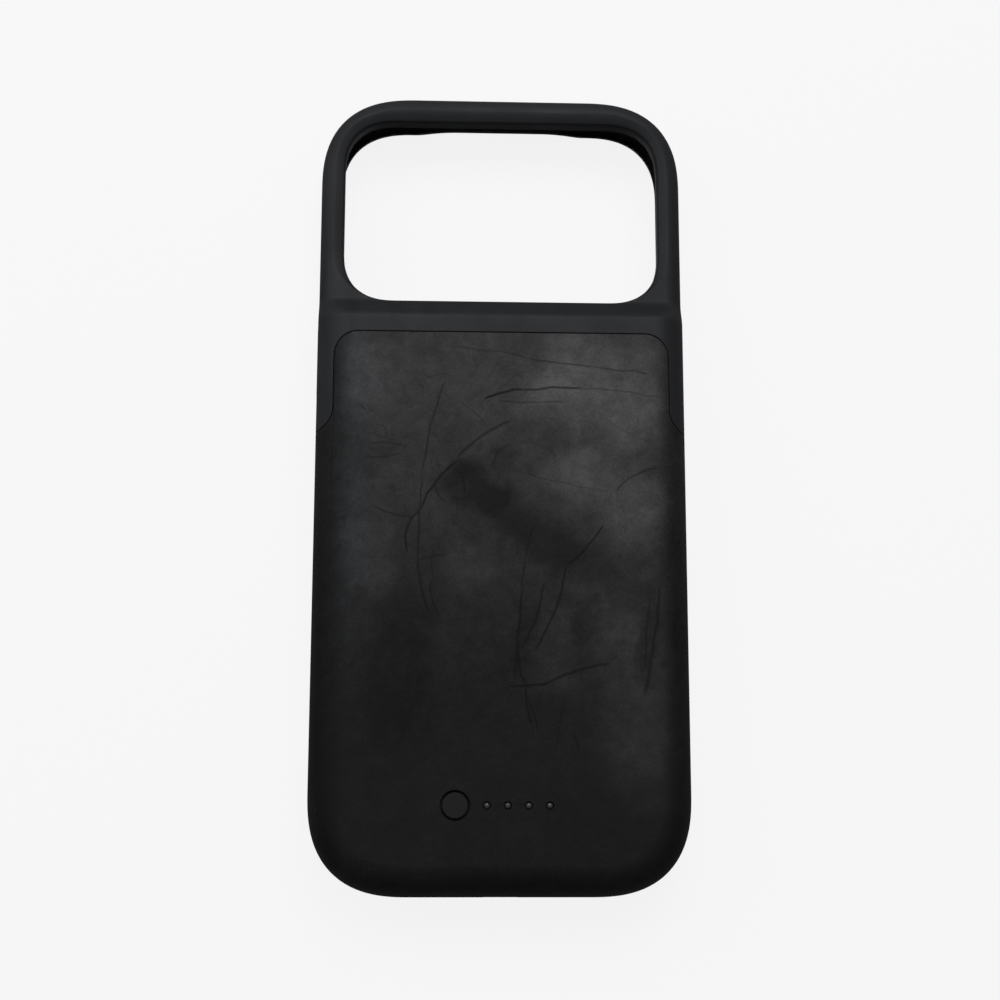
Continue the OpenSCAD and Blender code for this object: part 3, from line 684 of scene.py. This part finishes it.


# Marks on the back, each with its start, end, bow and half width in millimetres, and its strength.
# First the scores, placed where the real case has its larger ones
SCRATCHES = (
    (-10, 26.8, 6, 24.2, -0.3, 0.3, 0.4), (5, 24.4, 19, 22.6, 0.2, 0.35, 0.6),
    (18, 22.9, 30.5, 21.3, 0.2, 0.35, 0.5), (-4, 15.5, 5, 17.6, -0.4, 0.4, 0.95),
    (3, 17.3, 17, 18, -0.3, 0.38, 0.8), (14, 18, 33, 16.2, -0.4, 0.3, 0.4),
    (-1, 15.1, 14, 15.3, 0.1, 0.28, 0.5), (-11.4, 19.8, -16.2, 0, 0.5, 0.35, 0.55),
    (2.2, 11.4, -9.5, 3, 0.8, 0.45, 0.65), (-8.5, 3.4, -16.4, -7.6, 0.8, 0.45, 0.8),
    (-15.6, -6.6, -18.9, -16.6, 1.9, 0.4, 0.75), (-15.9, -0.5, -16.9, -17.4, 0.2, 0.4, 0.6),
    (-16.9, -16, -14.4, -28.4, 0.4, 0.45, 0.6), (-17.6, -17.8, -10.4, -16.4, -0.3, 0.3, 0.5),
    (20.8, -9.7, 12.8, -18.6, -0.6, 0.38, 0.75), (13.2, -18, 6.2, -36, -0.9, 0.42, 0.75),
    (6.3, -10.2, 4, -25.5, 0.4, 0.35, 0.5), (4.2, -23, 2.8, -41, 0.3, 0.42, 0.7),
    (8.6, -21, 3.4, -36, -0.8, 0.4, 0.65), (3.8, -33, 5.6, -43.4, 1.2, 0.45, 0.7),
    (1, -42.4, 9.5, -41.8, 0.3, 0.42, 0.85), (7, -42.4, 22, -37.9, -0.4, 0.42, 0.75),
    (31.6, -21.5, 28.1, -45, -0.6, 0.55, 0.6), (29.6, -24, 28.6, -40, 0.2, 0.35, 0.5),
    (4.8, -42.4, 6.2, -50.2, 0.4, 0.42, 0.7), (5.2, -45, 7.2, -51.2, -0.3, 0.35, 0.6),
    (12.8, -44.6, 10.6, -55.6, 0.2, 0.4, 0.4), (13.6, -51.5, 15.2, -55.2, -0.5, 0.45, 0.45),
    (32, 1.8, 22.8, -3.6, 0.9, 0.32, 0.6), (22.6, -3.4, 2, 1.2, -0.4, 0.28, 0.3),
    (-2, 1.5, 1.5, 6.5, -0.8, 0.35, 0.5), (-28, 3.4, -20, 4, 0.3, 0.28, 0.4),
    (-26, -6.6, -17.2, -8.8, 0.5, 0.32, 0.45), (20.2, 12.4, 31, 6.2, 0.4, 0.28, 0.25),
    (5.2, 22, -3.6, 14, 0.6, 0.3, 0.3), (-27, 6.4, -19, 5.2, -0.4, 0.28, 0.4),
    (-10.5, 1.5, -7.5, -4.5, -1.2, 0.3, 0.55), (-13.2, -1, -10.8, -6, 0.9, 0.3, 0.5),
    (-14.2, -21, -12, -29, 0.7, 0.35, 0.5),
)
# Smears that have wiped the film off
SMUDGES = (
    (-13.5, 1, 3, -8.5, -0.5, 6.6, 1), (-4, -4.5, 20, -20.5, 0.6, 6, 0.85),
    (14, -15, 31, -28, 0, 6.2, 0.62), (-34, 11, -22, 1, 1, 6.5, 0.4),
    (-17, -19, -21, -58, 1, 8.5, 0.85), (-16.5, -20, -15.5, -38, 1, 3.5, 0.6),
    (30.4, -23, 28.6, -44, 0, 3.2, 0.6), (5, -24, 3, -42, 0, 4, 0.45), (2.5, 6.5, -4, -1, 0, 3, 0.35),
    (23, -25, 12, -33, 0, 4.5, 0.5),
)
# Places where the film lies thick, some of them painted sheen: the upper right of the back is painted
# lighter, as the lamp's sheen falls there
HAZE_AND_SHEEN = (
    (4, 24, 31, 6, -4, 17, 1), (16, 14, 32, 8, 0, 13, 0.65), (10, 6, 33, -12, 0, 12, 0.8),
    (22, -14, 30, -66, 0, 14, 0.4), (33, -50, 30, -70, 0, 9, 0.12), (12, -24, 12, -46, 1, 8, 0.22),
    (-28, 28, -29, 14, 0, 9, 0.35), (-29, -8, -26, -26, 0, 8, 0.25), (-8, -14, -4, -24, 0, 7, 0.25),
    (-6, 20, -2, 6, 0, 7, 0.2),
)
# Places where the coating is scuffed to a pale grey
SCUFFS = (
    (-37.2, -63, -36.4, -71, 0, 1.4, 1), (28.3, -6, 28.9, -7.8, 0, 0.8, 1),
    (-26, 1.5, -24.5, 1, 0, 0.6, 0.7), (-32, -75.5, -24, -79, 0, 2.2, 0.6),
    (32.5, 8, 33, -14, 0, 1.6, 0.5),
)


def soft_touch():
    """Polycarbonate with a sprayed soft-touch coating, whose matting grain leaves only a dull sheen.
    A film of dust and skin oil greys it, and is painted thicker where the lamp's sheen falls, as painted
    sheen. Each rub mark has wiped the film off again."""
    made = finish_of("soft-touch coated polycarbonate", tint("coating"), 0.6, 1.1, 0.06,
                     Specular_IOR_Level=0.18)
    tree, add, shader, where = at_hand(made)
    place = add(VECTOR, TIMES, i0=where, i1=(MM, MM, 0))
    level = add(VECTOR, SCALED, i0=where, Scale=MM)
    # Waves of 7 mm and finer, which keep the marks' edges from running straight
    ragged = add(NOISE, Vector=level, Scale=1 / 7, Detail=5, Roughness=0.55)
    shaken = add(VECTOR, MINUS, i0=ragged.outputs["Color"], i1=(0.5, 0.5, 0.5))
    fine_place = add(VECTOR, TIMES_PLUS, i0=shaken, i1=(1.6, 1.6, 0), i2=place)
    loose_place = add(VECTOR, TIMES_PLUS, i0=shaken, i1=(9, 9, 0), i2=place)
    group = rub_group()
    lines = rubbed(add, fine_place, group, SCRATCHES, 0.1)
    smears = rubbed(add, loose_place, group, SMUDGES, 0.3, 0.8)
    haze_and_sheen = rubbed(add, loose_place, group, HAZE_AND_SHEEN, 0.05, 0.8)

    parts = add(SPLIT, i0=place).outputs
    # Curls of 9 mm, drawn by whatever the case slid over: contour lines of a noise, here and there
    curls = add(NOISE, Vector=level, Scale=1 / 9, Detail=0.6, Distortion=0.8)
    curls = add(MATHS, MINUS, i0=curls, i1=0.5)
    curls = add(MATHS, {"operation": "ABSOLUTE"}, i0=curls)
    curls = add(RANGE, Value=curls, i1=0.012, i2=0.003, i4=0.5)
    patches = add(NOISE, Vector=level, Scale=1 / 10, Detail=2)
    patches = add(RANGE, Value=patches, i1=0.5, i2=0.62)
    middle = add(RANGE, Value=parts[0], i1=8, i2=-4)
    above = add(RANGE, Value=parts[1], i1=-48, i2=-36)
    for share in (middle, above):
        patches = add(MATHS, TIMES, i0=patches, i1=share)
    curls = add(MATHS, TIMES, i0=curls, i1=patches)
    lines = add(MATHS, LARGER, i0=lines, i1=curls)

    # Painted sheen: the film is thin towards the foot and thick towards the window end, so the back is
    # painted lighter where the key lamp's sheen falls. The film is also thinner on the rounded edges
    film_and_painted_light = add(RANGE, SMOOTH, Value=parts[1], i1=-50, i2=24, i3=0.055, i4=0.3)
    left = add(RANGE, SMOOTH, Value=parts[0], i1=-34.5, i2=-29.5, i3=0.2)
    right = add(RANGE, SMOOTH, Value=parts[0], i1=30, i2=35, i3=1, i4=0.45)
    # Grains of the film, its blotches of 3 mm and clouds of 15 mm
    specks = add(NOISE, Vector=level, Scale=1 / 0.45, Detail=3, Roughness=0.8)
    blotches = add(NOISE, Vector=level, Scale=1 / 3, Detail=5, Roughness=0.7, Distortion=0.3)
    clouds = add(NOISE, Vector=level, Scale=1 / 15, Detail=6, Roughness=0.62)
    # The grit of the coating itself, which shows most where the film is thin
    grit = add(MATHS, PLUS, i0=specks, i1=blotches)
    grit = add(MATHS, MINUS, i0=grit, i1=1)
    worn = add(RANGE, Value=parts[1], i1=-62, i2=-36, i3=0.02, i4=0.1)
    grit = add(MATHS, TIMES, i0=grit, i1=worn)
    grits = add(RANGE, Value=specks, i1=0.55, i2=0.68)
    specks = add(RANGE, Value=specks, i1=0.3, i2=0.7, i3=0.8, i4=1.2)
    blotches = add(RANGE, Value=blotches, i1=0.3, i2=0.7, i3=0.74, i4=1.26)
    clouds = add(RANGE, Value=clouds, i1=0.35, i2=0.65, i3=0.82, i4=1.2)
    # Painted sheen: the thick places lighten the film, most at the upper right
    film_and_painted_light = add(MATHS, TIMES_PLUS, i0=haze_and_sheen, i1=0.44, i2=film_and_painted_light)
    # A smear lets some of the film through where its grains are coarse
    missed = add(RANGE, Value=ragged, i1=0.35, i2=0.65, i3=-1, i4=-0.72)
    wiped = add(MATHS, TIMES_PLUS, i0=smears, i1=missed, i2=1)
    # A score runs on and off as it crosses the blotches
    broken = add(MATHS, TIMES, i0=lines, i1=blotches)
    scored = add(MATHS, TIMES_PLUS | CLAMP, i0=broken, i1=-0.82, i2=1)
    for share in (left, right, clouds, blotches, wiped, scored, specks):
        film_and_painted_light = add(MATHS, TIMES | CLAMP, i0=film_and_painted_light, i1=share)
    scuffed = rubbed(add, fine_place, group, SCUFFS, 0.1)
    scuffed = add(MATHS, TIMES, i0=scuffed, i1=grits)
    # Single grains of dust, 0.3 mm wide
    dots = add("ShaderNodeTexVoronoi", Vector=level, Scale=1 / 0.9)
    dots = add(RANGE, Value=dots, i1=0.24, i2=0.1)
    dots = add(MATHS, TIMES, i0=dots, i1=grits)
    dots = add(MATHS, TIMES_PLUS, i0=dots, i1=0.12, i2=grit)
    film_and_painted_light = add(MATHS, PLUS | CLAMP, i0=dots, i1=film_and_painted_light)
    film_and_painted_light = add(MATHS, TIMES_PLUS | CLAMP, i0=scuffed, i1=0.3, i2=film_and_painted_light)
    # Painted sheen: the film is tinted bluish at the left, where light from the left is reflected, and
    # keeps the dust's own tone towards the middle
    bluish_sheen = add(RANGE, SMOOTH, Value=parts[0], i1=-20, i2=-32)
    dust_and_sheen_tint = add(MIX, COLOUR, Factor=bluish_sheen, i6=tint("dust_and_sheen"), i7=tint("bluish_sheen_tint"))
    base = add(MIX, COLOUR, Factor=film_and_painted_light, i6=tint("coating"), i7=dust_and_sheen_tint.outputs[2])
    tree.links.new(base.outputs[2], shader.inputs["Base Color"])

    # Scored places scatter the sheen so widely that they stay dark
    rough = add(RANGE, Value=broken, i3=0.6, i4=0.82)
    tree.links.new(rough.outputs[0], shader.inputs["Roughness"])
    return made


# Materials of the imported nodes, each with its nodes and what finish_of takes: real name, colour,
# roughness, grain, depth, spread and mottle, the last two where they differ from the usual, and then
# what else the shader needs. The nodes that a visual piece replaces stand in the first two
DRESSINGS = (
    # Injected ABS with a spark-eroded grain, dull all over
    ("inner_plate upper_frame status_button light_guide", "spark-textured ABS", "#232324",
     0.55, 0.45, 0.02, 0.03, 14, {}),
    # Polycarbonate from a mould with a finer grain: dull, and a shade darker
    ("back_housing chin_cover", "textured polycarbonate", "#1B1B1B", 0.5, 0.4, 0.015, 0.03, 14, {}),
    # Filled epoxy, moulded round the chips, matt as a slate
    ("switch_body charge_chip boost_chip", "epoxy moulding compound", "#1C1C1D",
     0.62, 0.12, 0.008, 0.04, {}),
    # Natural polyacetal, waxy and a little translucent
    ("switch_plunger", "natural polyacetal", "#DAD4C4", 0.38, 0.6, 0.004,
     {"Subsurface_Weight": 0.15, "Subsurface_Scale": 0.0006}),
    # Glass-filled epoxy laminate under green solder mask: a glossy skin over the weave
    ("main_board plug_board protection_board", "solder mask on glass laminate", "#15502F",
     0.42, 0.5, 0.01, 0.05, {"Coat_Weight": 0.6, "Coat_Roughness": 0.12}),
    # Silicone with a white filler, cast over the diode: milky, with a smooth wet shine
    ("led_1 led_2 led_3 led_4", "milky silicone resin", "#F0EBD8", 0.25, 0.5, 0.002,
     {"Subsurface_Weight": 0.4, "Subsurface_Scale": 0.0005}),
    # Pressed and sintered ferrite powder: dark and chalky
    ("power_inductor", "sintered ferrite", "#3B3937", 0.7, 0.1, 0.012, 0.05, {}),
    # Fired ceramic in its natural tan, with the faint gloss of a fine grain
    ("capacitors", "barium titanate ceramic", "#A58B66", 0.35, 0.2, 0.004, 0.04, {}),
    # Rolled steel sheet with a nickel plating: bright, with a soft blur from the rolls
    ("board_screws inlet_shell plug_shell battery_tabs", "nickel-plated steel", "#BDB8AE",
     0.26, 0.25, 0.002, 0.06, 3, {"Metallic": 1}),
    # Moulded in a smooth tool: black, between dull and glossy
    ("inlet_tongue plug_core plug_carrier", "liquid crystal polymer", "#161617",
     0.42, 0.3, 0.006, 0.04, {}),
    # Copper strip between two films of polyimide: amber and glossy
    ("flex_cable", "polyimide film", "#B2702B", 0.3, 0.8, 0.003, 0.04,
     {"Coat_Weight": 0.5, "Coat_Roughness": 0.1}),
    # Aluminium foil laminated with nylon, drawn over the cell, with fine wrinkles
    ("battery_cell", "nylon-laminated aluminium foil", "#C3C5C7", 0.34, 1.6, 0.05, 0.07, 9,
     {"Metallic": 1, "Coat_Weight": 0.4, "Coat_Roughness": 0.3}),
    # Tissue soaked with glue: off-white and quite dull
    ("battery_tape", "double-sided tissue tape", "#DCDBD3", 0.75, 0.25, 0.02, 0.05, {}),
)


def dressings():
    """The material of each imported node, by the node's name."""
    found = {}
    for nodes, name, shade, *look, settings in DRESSINGS:
        made = finish_of(name, linear(shade), *look, **settings)
        found.update(dict.fromkeys(nodes.split(), made))
    return found


def smoked_guide():
    """Smoked clear polycarbonate from a polished mould: the milky core lights up, the skin is glossy."""
    return finish_of("smoked polycarbonate", tint("lens"), 0.35, 0.5, 0.002, Subsurface_Weight=0.2,
                     Subsurface_Radius=(1, 1, 1), Subsurface_Scale=0.0003,
                     Coat_Weight=0.3, Coat_Roughness=0.25)


def matt_cap():
    """Polycarbonate button, moulded in a blasted tool: as dull as the coating round it."""
    return finish_of("blasted polycarbonate", tint("button"), 0.52, 0.28, 0.01, 0.04, 12,
                     Specular_IOR_Level=0.32)


def matt_elastomer():
    """Thermoplastic elastomer from a vapour-honed mould: dull, and rubbed a little smoother in places.
    It greys slightly where the skin of the moulding has dried out, and its left side is painted greyer,
    as light from the left falls on it."""
    made = finish_of("matt thermoplastic elastomer", tint("elastomer"), 0.66, 0.28, 0.01, 0.04, 12)
    tree, add, shader, where = at_hand(made)
    # Streaks of some 3 mm by 20 mm along the mould's flow, and dust grains of 0.4 mm
    drawn = add(VECTOR, TIMES, i0=where, i1=(MM / 3, MM / 20, MM / 6))
    streaks = add(NOISE, Vector=drawn, Scale=1, Detail=4, Roughness=0.6)
    level = add(VECTOR, SCALED, i0=where, Scale=MM)
    grains = add(NOISE, Vector=level, Scale=1 / 0.4, Detail=1)
    grains = add(RANGE, Value=grains, i1=0.7, i2=0.82, i4=0.35)
    dried = add(RANGE, Value=streaks, i1=0.35, i2=0.7, i4=0.4)
    # Painted light: the left side, which the side lamp lights, is painted greyer than the right
    across = add(SPLIT, i0=level).outputs[0]
    painted_left_light = add(RANGE, Value=across, i1=-28, i2=30, i3=2, i4=0)
    film_and_painted_light = add(MATHS, TIMES_PLUS | CLAMP, i0=dried, i1=painted_left_light, i2=grains)
    base = add(MIX, COLOUR, Factor=film_and_painted_light, i6=tint("elastomer"), i7=tint("bloom_and_left_light"))
    tree.links.new(base.outputs[2], shader.inputs["Base Color"])
    return made


# Pieces

class CASE_OT_upper_frame(bpy.types.Operator):
    """Model the soft frame round the camera window, with its two legs and the side pads"""
    bl_idname = "battery_case.upper_frame"
    bl_label = "Upper frame"

    def execute(self, context):
        p = Places()
        part = combine(case_form(p), housing_prism(p, mm("seam_gap")))
        soften_seam(part)
        phone_top = p.cavity_top - PHONE_GAP
        pad_x, pad_edge = p.half_w + mm("pad_rise"), 0.35
        for side, y, size in PADS:
            pad = side_slot(phone_top - y, size, mm("pad_h"), p.half_w - 1, pad_x, side, z=p.phone_z)
            round_edges(pad, lambda e: all(abs(abs(v.co.x) - pad_x) < NEAR for v in e.verts), pad_edge, 4)
            combine(part, pad, "UNION")
        combine(part, phone_cavity(p))
        combine(part, screen_opening(p))
        combine(part, tongue(p, DROP_GAP))
        combine(part, window(p))
        part.name = part.data.name = "frame_moulding"
        finished(tidy(part), matt_elastomer(), "case", "frame_elastomer", "upper_frame")
        return {"FINISHED"}


class CASE_OT_back_housing(bpy.types.Operator):
    """Model the hard shell with the battery hump, the lower walls and the chin"""
    bl_idname = "battery_case.back_housing"
    bl_label = "Back housing"

    def execute(self, context):
        p = Places()
        part = combine(case_form(p), housing_prism(p, 0), "INTERSECT")
        soften_seam(part)
        combine(part, tongue(p, 0), "UNION")
        combine(part, phone_cavity(p))
        combine(part, screen_opening(p))
        # The bay starts a little inside the seat of the plate, so that it opens into it
        bay_z = p.plate_z - 0.02
        bay = outline("bay", p, mm("hump_edge") - BAY_EDGE, bay_z, p.roof_z)
        slice_off(bay, p.seam_y - BAY_WALL, True)
        inner = p.leg_x - TONGUE_SIDE - TONGUE_WALL
        step = block("step", (-inner, p.seam_y - TONGUE_ROOT, bay_z),
                     (inner, p.tongue_y - TONGUE_WALL, p.roof_z))
        combine(part, combine(bay, step, "UNION"))
        chin = outline("chin", p, CHIN_WALL, mm("lip"), p.case_h - mm("hump_edge") + CHIN_STEP)
        combine(part, slice_off(chin, p.bulkhead_y, True))
        door = outline("door", p, CHIN_WALL - COVER_LEDGE, -1, mm("lip") + 0.01)
        combine(part, slice_off(door, p.bulkhead_y + COVER_LEDGE, True))
        self.bosses(part, p)
        self.openings(part, p)
        part.name = part.data.name = "housing_shell"
        finished(tidy(part), soft_touch(), "case", "housing_plastic", "back_housing")
        return {"FINISHED"}

    def bosses(self, part, p):
        """Adds the four screw bosses, which stand down from the roof of the bay onto the board."""
        low, high = in_mm(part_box("board_screws"))
        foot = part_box("main_board")[1].z * MM
        head_r, boss_r, hole_r, boss_edge = 1.4, 2.2, 0.77, 0.2
        for x in (low.x + head_r, high.x - head_r):
            for y in (low.y + head_r, high.y - head_r):
                boss = drum("boss", (x, y), boss_r, foot, p.roof_z + 0.2, 48)
                round_edges(boss, at_height(foot), boss_edge, 2)
                combine(boss, drum("hole", (x, y), hole_r, foot - 1, high.z + 0.3, 24))
                combine(part, boss, "UNION")

    def openings(self, part, p):
        """Cuts the button hole, the light holes, the inlet, the plug's way and the slots."""
        ring_depth, ring_edge, light_edge = 1.0, 0.08, 0.1
        nose_w, nose_h = 12.6, 5.4
        sound_x, sound_w, sound_h = 19, 11, 2.6
        slot_drop, slot_l, slot_w, slot_edge = 99, 22, 5, 0.3
        x, y = p.button.xy
        hole = drum("hole", (x, y), mm("button_d") / 2 + BUTTON_FIT, p.roof_z - 1, p.case_h - 0.5, 72)
        rim = p.case_h - ring_edge
        ring = drum("ring", (x, y), mm("button_ring") / 2 - ring_edge, p.case_h - ring_depth, rim, 72)
        flare(ring, rim, (x, x, y, y), quarter_round(ring_edge, p.case_h, 3))
        combine(part, combine(hole, ring, "UNION"))
        rim = p.case_h - light_edge
        for x in p.light_places():
            hole = drum("hole", (x, y), mm("light_d") / 2, p.roof_z - 1, rim, 32)
            flare(hole, rim, (x, x, y, y), quarter_round(light_edge, p.case_h, 3))
            combine(part, hole)
        low, high = in_mm(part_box("inlet_shell"))
        size = high - low
        combine(part, foot_slot(0, (low.z + high.z) / 2, size.x + 2 * DROP_GAP, size.z + 2 * DROP_GAP,
                                p.foot_y, p.foot_y + (CHIN_WALL + 1)))
        combine(part, foot_slot(0, p.phone_z, nose_w, nose_h, p.bulkhead_y, p.cavity_foot + 1))
        for side in (-1, 1):
            combine(part, foot_slot(side * sound_x, p.phone_z, sound_w, sound_h,
                                    p.foot_y - 1, p.cavity_foot + 1))
        slot = side_slot(p.cavity_top - PHONE_GAP - slot_drop, slot_l, slot_w,
                         p.cavity_hw - 1, p.half_w, -1, slot_edge, p.phone_z)
        combine(part, slot)


class CASE_OT_status_button(bpy.types.Operator):
    """Model the status button: cap, retaining flange and stem"""
    bl_idname = "battery_case.status_button"
    bl_label = "Status button"

    def execute(self, context):
        p = Places()
        low, high = in_mm(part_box("status_button"))
        under, cap_edge, stem_r = p.roof_z - 0.7, 0.11, 1.2
        cap = drum("button_cap", p.button, mm("button_d") / 2, under, high.z, 96)
        round_edges(cap, at_height(high.z), cap_edge, 4)
        flange = drum("flange", p.button, (high.x - low.x) / 2, under, p.roof_z - REST_GAP, 72)
        stem = drum("stem", p.button, stem_r, low.z, p.roof_z - 0.6, 40)
        combine(cap, flange, "UNION")
        combine(cap, stem, "UNION")
        finished(cap, matt_cap(), "button", "button_plastic", "status_button")
        return {"FINISHED"}


class CASE_OT_light_guide(bpy.types.Operator):
    """Model the clear light guide: a bar behind the wall with a domed pin in each light hole"""
    bl_idname = "battery_case.light_guide"
    bl_label = "Light guide"

    def execute(self, context):
        p = Places()
        low, high = in_mm(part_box("light_guide"))
        bar_top = p.roof_z - REST_GAP
        bar_corner, bar_edge, dome = 1.2, 0.15, 0.66
        bar = block("light_guide_moulding", low, (high.x, high.y, bar_top))
        round_edges(bar, upright, bar_corner, 6)
        round_edges(bar, at_height(low.z), bar_edge, 2)
        for x in p.light_places():
            pin = drum("pin", (x, p.button.y), mm("light_d") / 2 - LIGHT_FIT, bar_top - 0.3, high.z, 40)
            round_edges(pin, at_height(high.z), dome, 8)
            combine(bar, pin, "UNION")
        finished(bar, smoked_guide(), "case", "light_guide", "light_guide")
        return {"FINISHED"}


class CASE_OT_carried_over(bpy.types.Operator):
    """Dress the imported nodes"""
    bl_idname = "battery_case.carried_over"
    bl_label = "Carried-over parts"

    def execute(self, context):
        materials = dressings()
        for name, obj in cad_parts.items():
            obj.data.materials.clear()
            obj.data.materials.append(materials[name])
        return {"FINISHED"}


class CASE_OT_stage(bpy.types.Operator):
    """Set up the floor, the lights and the camera"""
    bl_idname = "battery_case.stage"
    bl_label = "Stage"

    def execute(self, context):
        scene = context.scene
        bpy.ops.mesh.primitive_plane_add(size=6)
        floor = bpy.context.object
        floor.name = "floor"
        made = bpy.data.materials.new("studio floor")
        add = cleared(made)
        # The camera sees the floor nearly white, and the case is lit by it as by a grey one
        matt = add("ShaderNodeBsdfDiffuse", Color=(0.8, 0.8, 0.8, 1))
        lit = add("ShaderNodeBsdfDiffuse", Color=(0.38, 0.38, 0.38, 1))
        glow = add("ShaderNodeEmission", Color=WHITE, Strength=1)
        mix = add("ShaderNodeMixShader", i0=0.87, i1=matt, i2=glow)
        light_path = add("ShaderNodeLightPath").outputs
        seen = add("ShaderNodeMixShader", i0=light_path["Is Camera Ray"], i1=lit, i2=mix)
        # From below the floor is clear, and the lamp under it shines through
        clear = add("ShaderNodeBsdfTransparent")
        under = add("ShaderNodeNewGeometry").outputs["Backfacing"]
        open_floor = add(MATHS, LARGER, i0=under, i1=light_path["Is Shadow Ray"])
        floor_mix = add("ShaderNodeMixShader", i0=open_floor, i1=seen, i2=clear)
        add("ShaderNodeOutputMaterial", i0=floor_mix)
        floor.data.materials.append(made)

        world = bpy.data.worlds.new("studio")
        scene.world = world
        add = cleared(world)
        # White walls light the case from its window end and from both sides, and less from its foot
        towards = add(SPLIT, i0=add(PLACE).outputs["Generated"]).outputs
        walls = add(RANGE, SMOOTH, Value=towards[1], i1=-0.8, i2=0.3, i3=0.06, i4=0.22)
        dim = add("ShaderNodeBackground", Color=WHITE, Strength=walls)
        white = add("ShaderNodeBackground", Color=WHITE, Strength=0.885)
        ray = add("ShaderNodeLightPath").outputs["Is Camera Ray"]
        mix = add("ShaderNodeMixShader", i0=ray, i1=dim, i2=white)
        add("ShaderNodeOutputWorld", i0=mix)

        self.lamp("key", (0.05, 0.34, 0.55), 0.4, 1.65)
        self.lamp("side", (-0.45, 0.24, 0.42), 0.45, 0.82)
        self.lamp("under", (0, 0.11, -0.4), 0.1, 0.45)
        self.camera(scene)
        scene.view_settings.view_transform = "Standard"
        return {"FINISHED"}

    def lamp(self, name, place, size, power):
        data = bpy.data.lights.new(name, "AREA")
        data.shape, data.size, data.energy = "SQUARE", size, power
        lamp = bpy.data.objects.new(name, data)
        lamp.location = place
        lamp.rotation_euler = (-Vector(place)).to_track_quat("-Z", "Y").to_euler()
        bpy.context.scene.collection.objects.link(lamp)

    def camera(self, scene):
        """The viewpoint of the photograph, fitted to the outline of the case."""
        azimuth, elevation, roll = (math.radians(a) for a in (-11.787, 79.55, 12.092))
        target, distance = Vector((-0.043, -3.721, 10.0)), 326.886
        back = Vector((math.sin(azimuth) * math.cos(elevation), -math.cos(azimuth) * math.cos(elevation),
                       math.sin(elevation)))
        eye = (target + distance * back) / MM
        right = (-back).cross(Vector((0, 0, 1))).normalized()
        up = right.cross(-back)
        right, up = (math.cos(roll) * right + math.sin(roll) * up,
                     math.cos(roll) * up - math.sin(roll) * right)
        data = bpy.data.cameras.new("camera")
        data.sensor_width, data.lens = 36, 56.92
        data.clip_start = 0.01
        camera = bpy.data.objects.new("camera", data)
        camera.matrix_world = Matrix((right, up, back)).transposed().to_4x4()
        camera.location = eye
        scene.collection.objects.link(camera)
        scene.camera = camera


class CASE_PT_panel(bpy.types.Panel):
    """Sizes, colours and pieces of the case"""
    bl_idname = "CASE_PT_panel"
    bl_label = "Battery case"
    bl_space_type = "VIEW_3D"
    bl_region_type = "UI"
    bl_category = "Case"

    def draw(self, context):
        for operator in PIECES:
            self.layout.operator(operator.bl_idname)
        for group in (context.scene.case_sizes, context.scene.case_colours):
            box = self.layout.box()
            for name in type(group).__annotations__:
                box.prop(group, name)


PIECES = (CASE_OT_carried_over, CASE_OT_upper_frame, CASE_OT_back_housing, CASE_OT_status_button,
          CASE_OT_light_guide, CASE_OT_stage)
CLASSES = (CaseSizes, CaseColours) + PIECES + (CASE_PT_panel,)


def register():
    for cls in CLASSES:
        bpy.utils.register_class(cls)
    bpy.types.Scene.case_sizes = bpy.props.PointerProperty(type=CaseSizes)
    bpy.types.Scene.case_colours = bpy.props.PointerProperty(type=CaseColours)


def unregister():
    del bpy.types.Scene.case_colours
    del bpy.types.Scene.case_sizes
    for cls in reversed(CLASSES):
        bpy.utils.unregister_class(cls)


def main():
    register()
    bpy.ops.battery_case.carried_over()
    bpy.ops.battery_case.upper_frame()
    bpy.ops.battery_case.back_housing()
    bpy.ops.battery_case.status_button()
    bpy.ops.battery_case.light_guide()
    bpy.ops.battery_case.stage()
    bpy.context.view_layer.update()


if __name__ == "__main__":
    main()
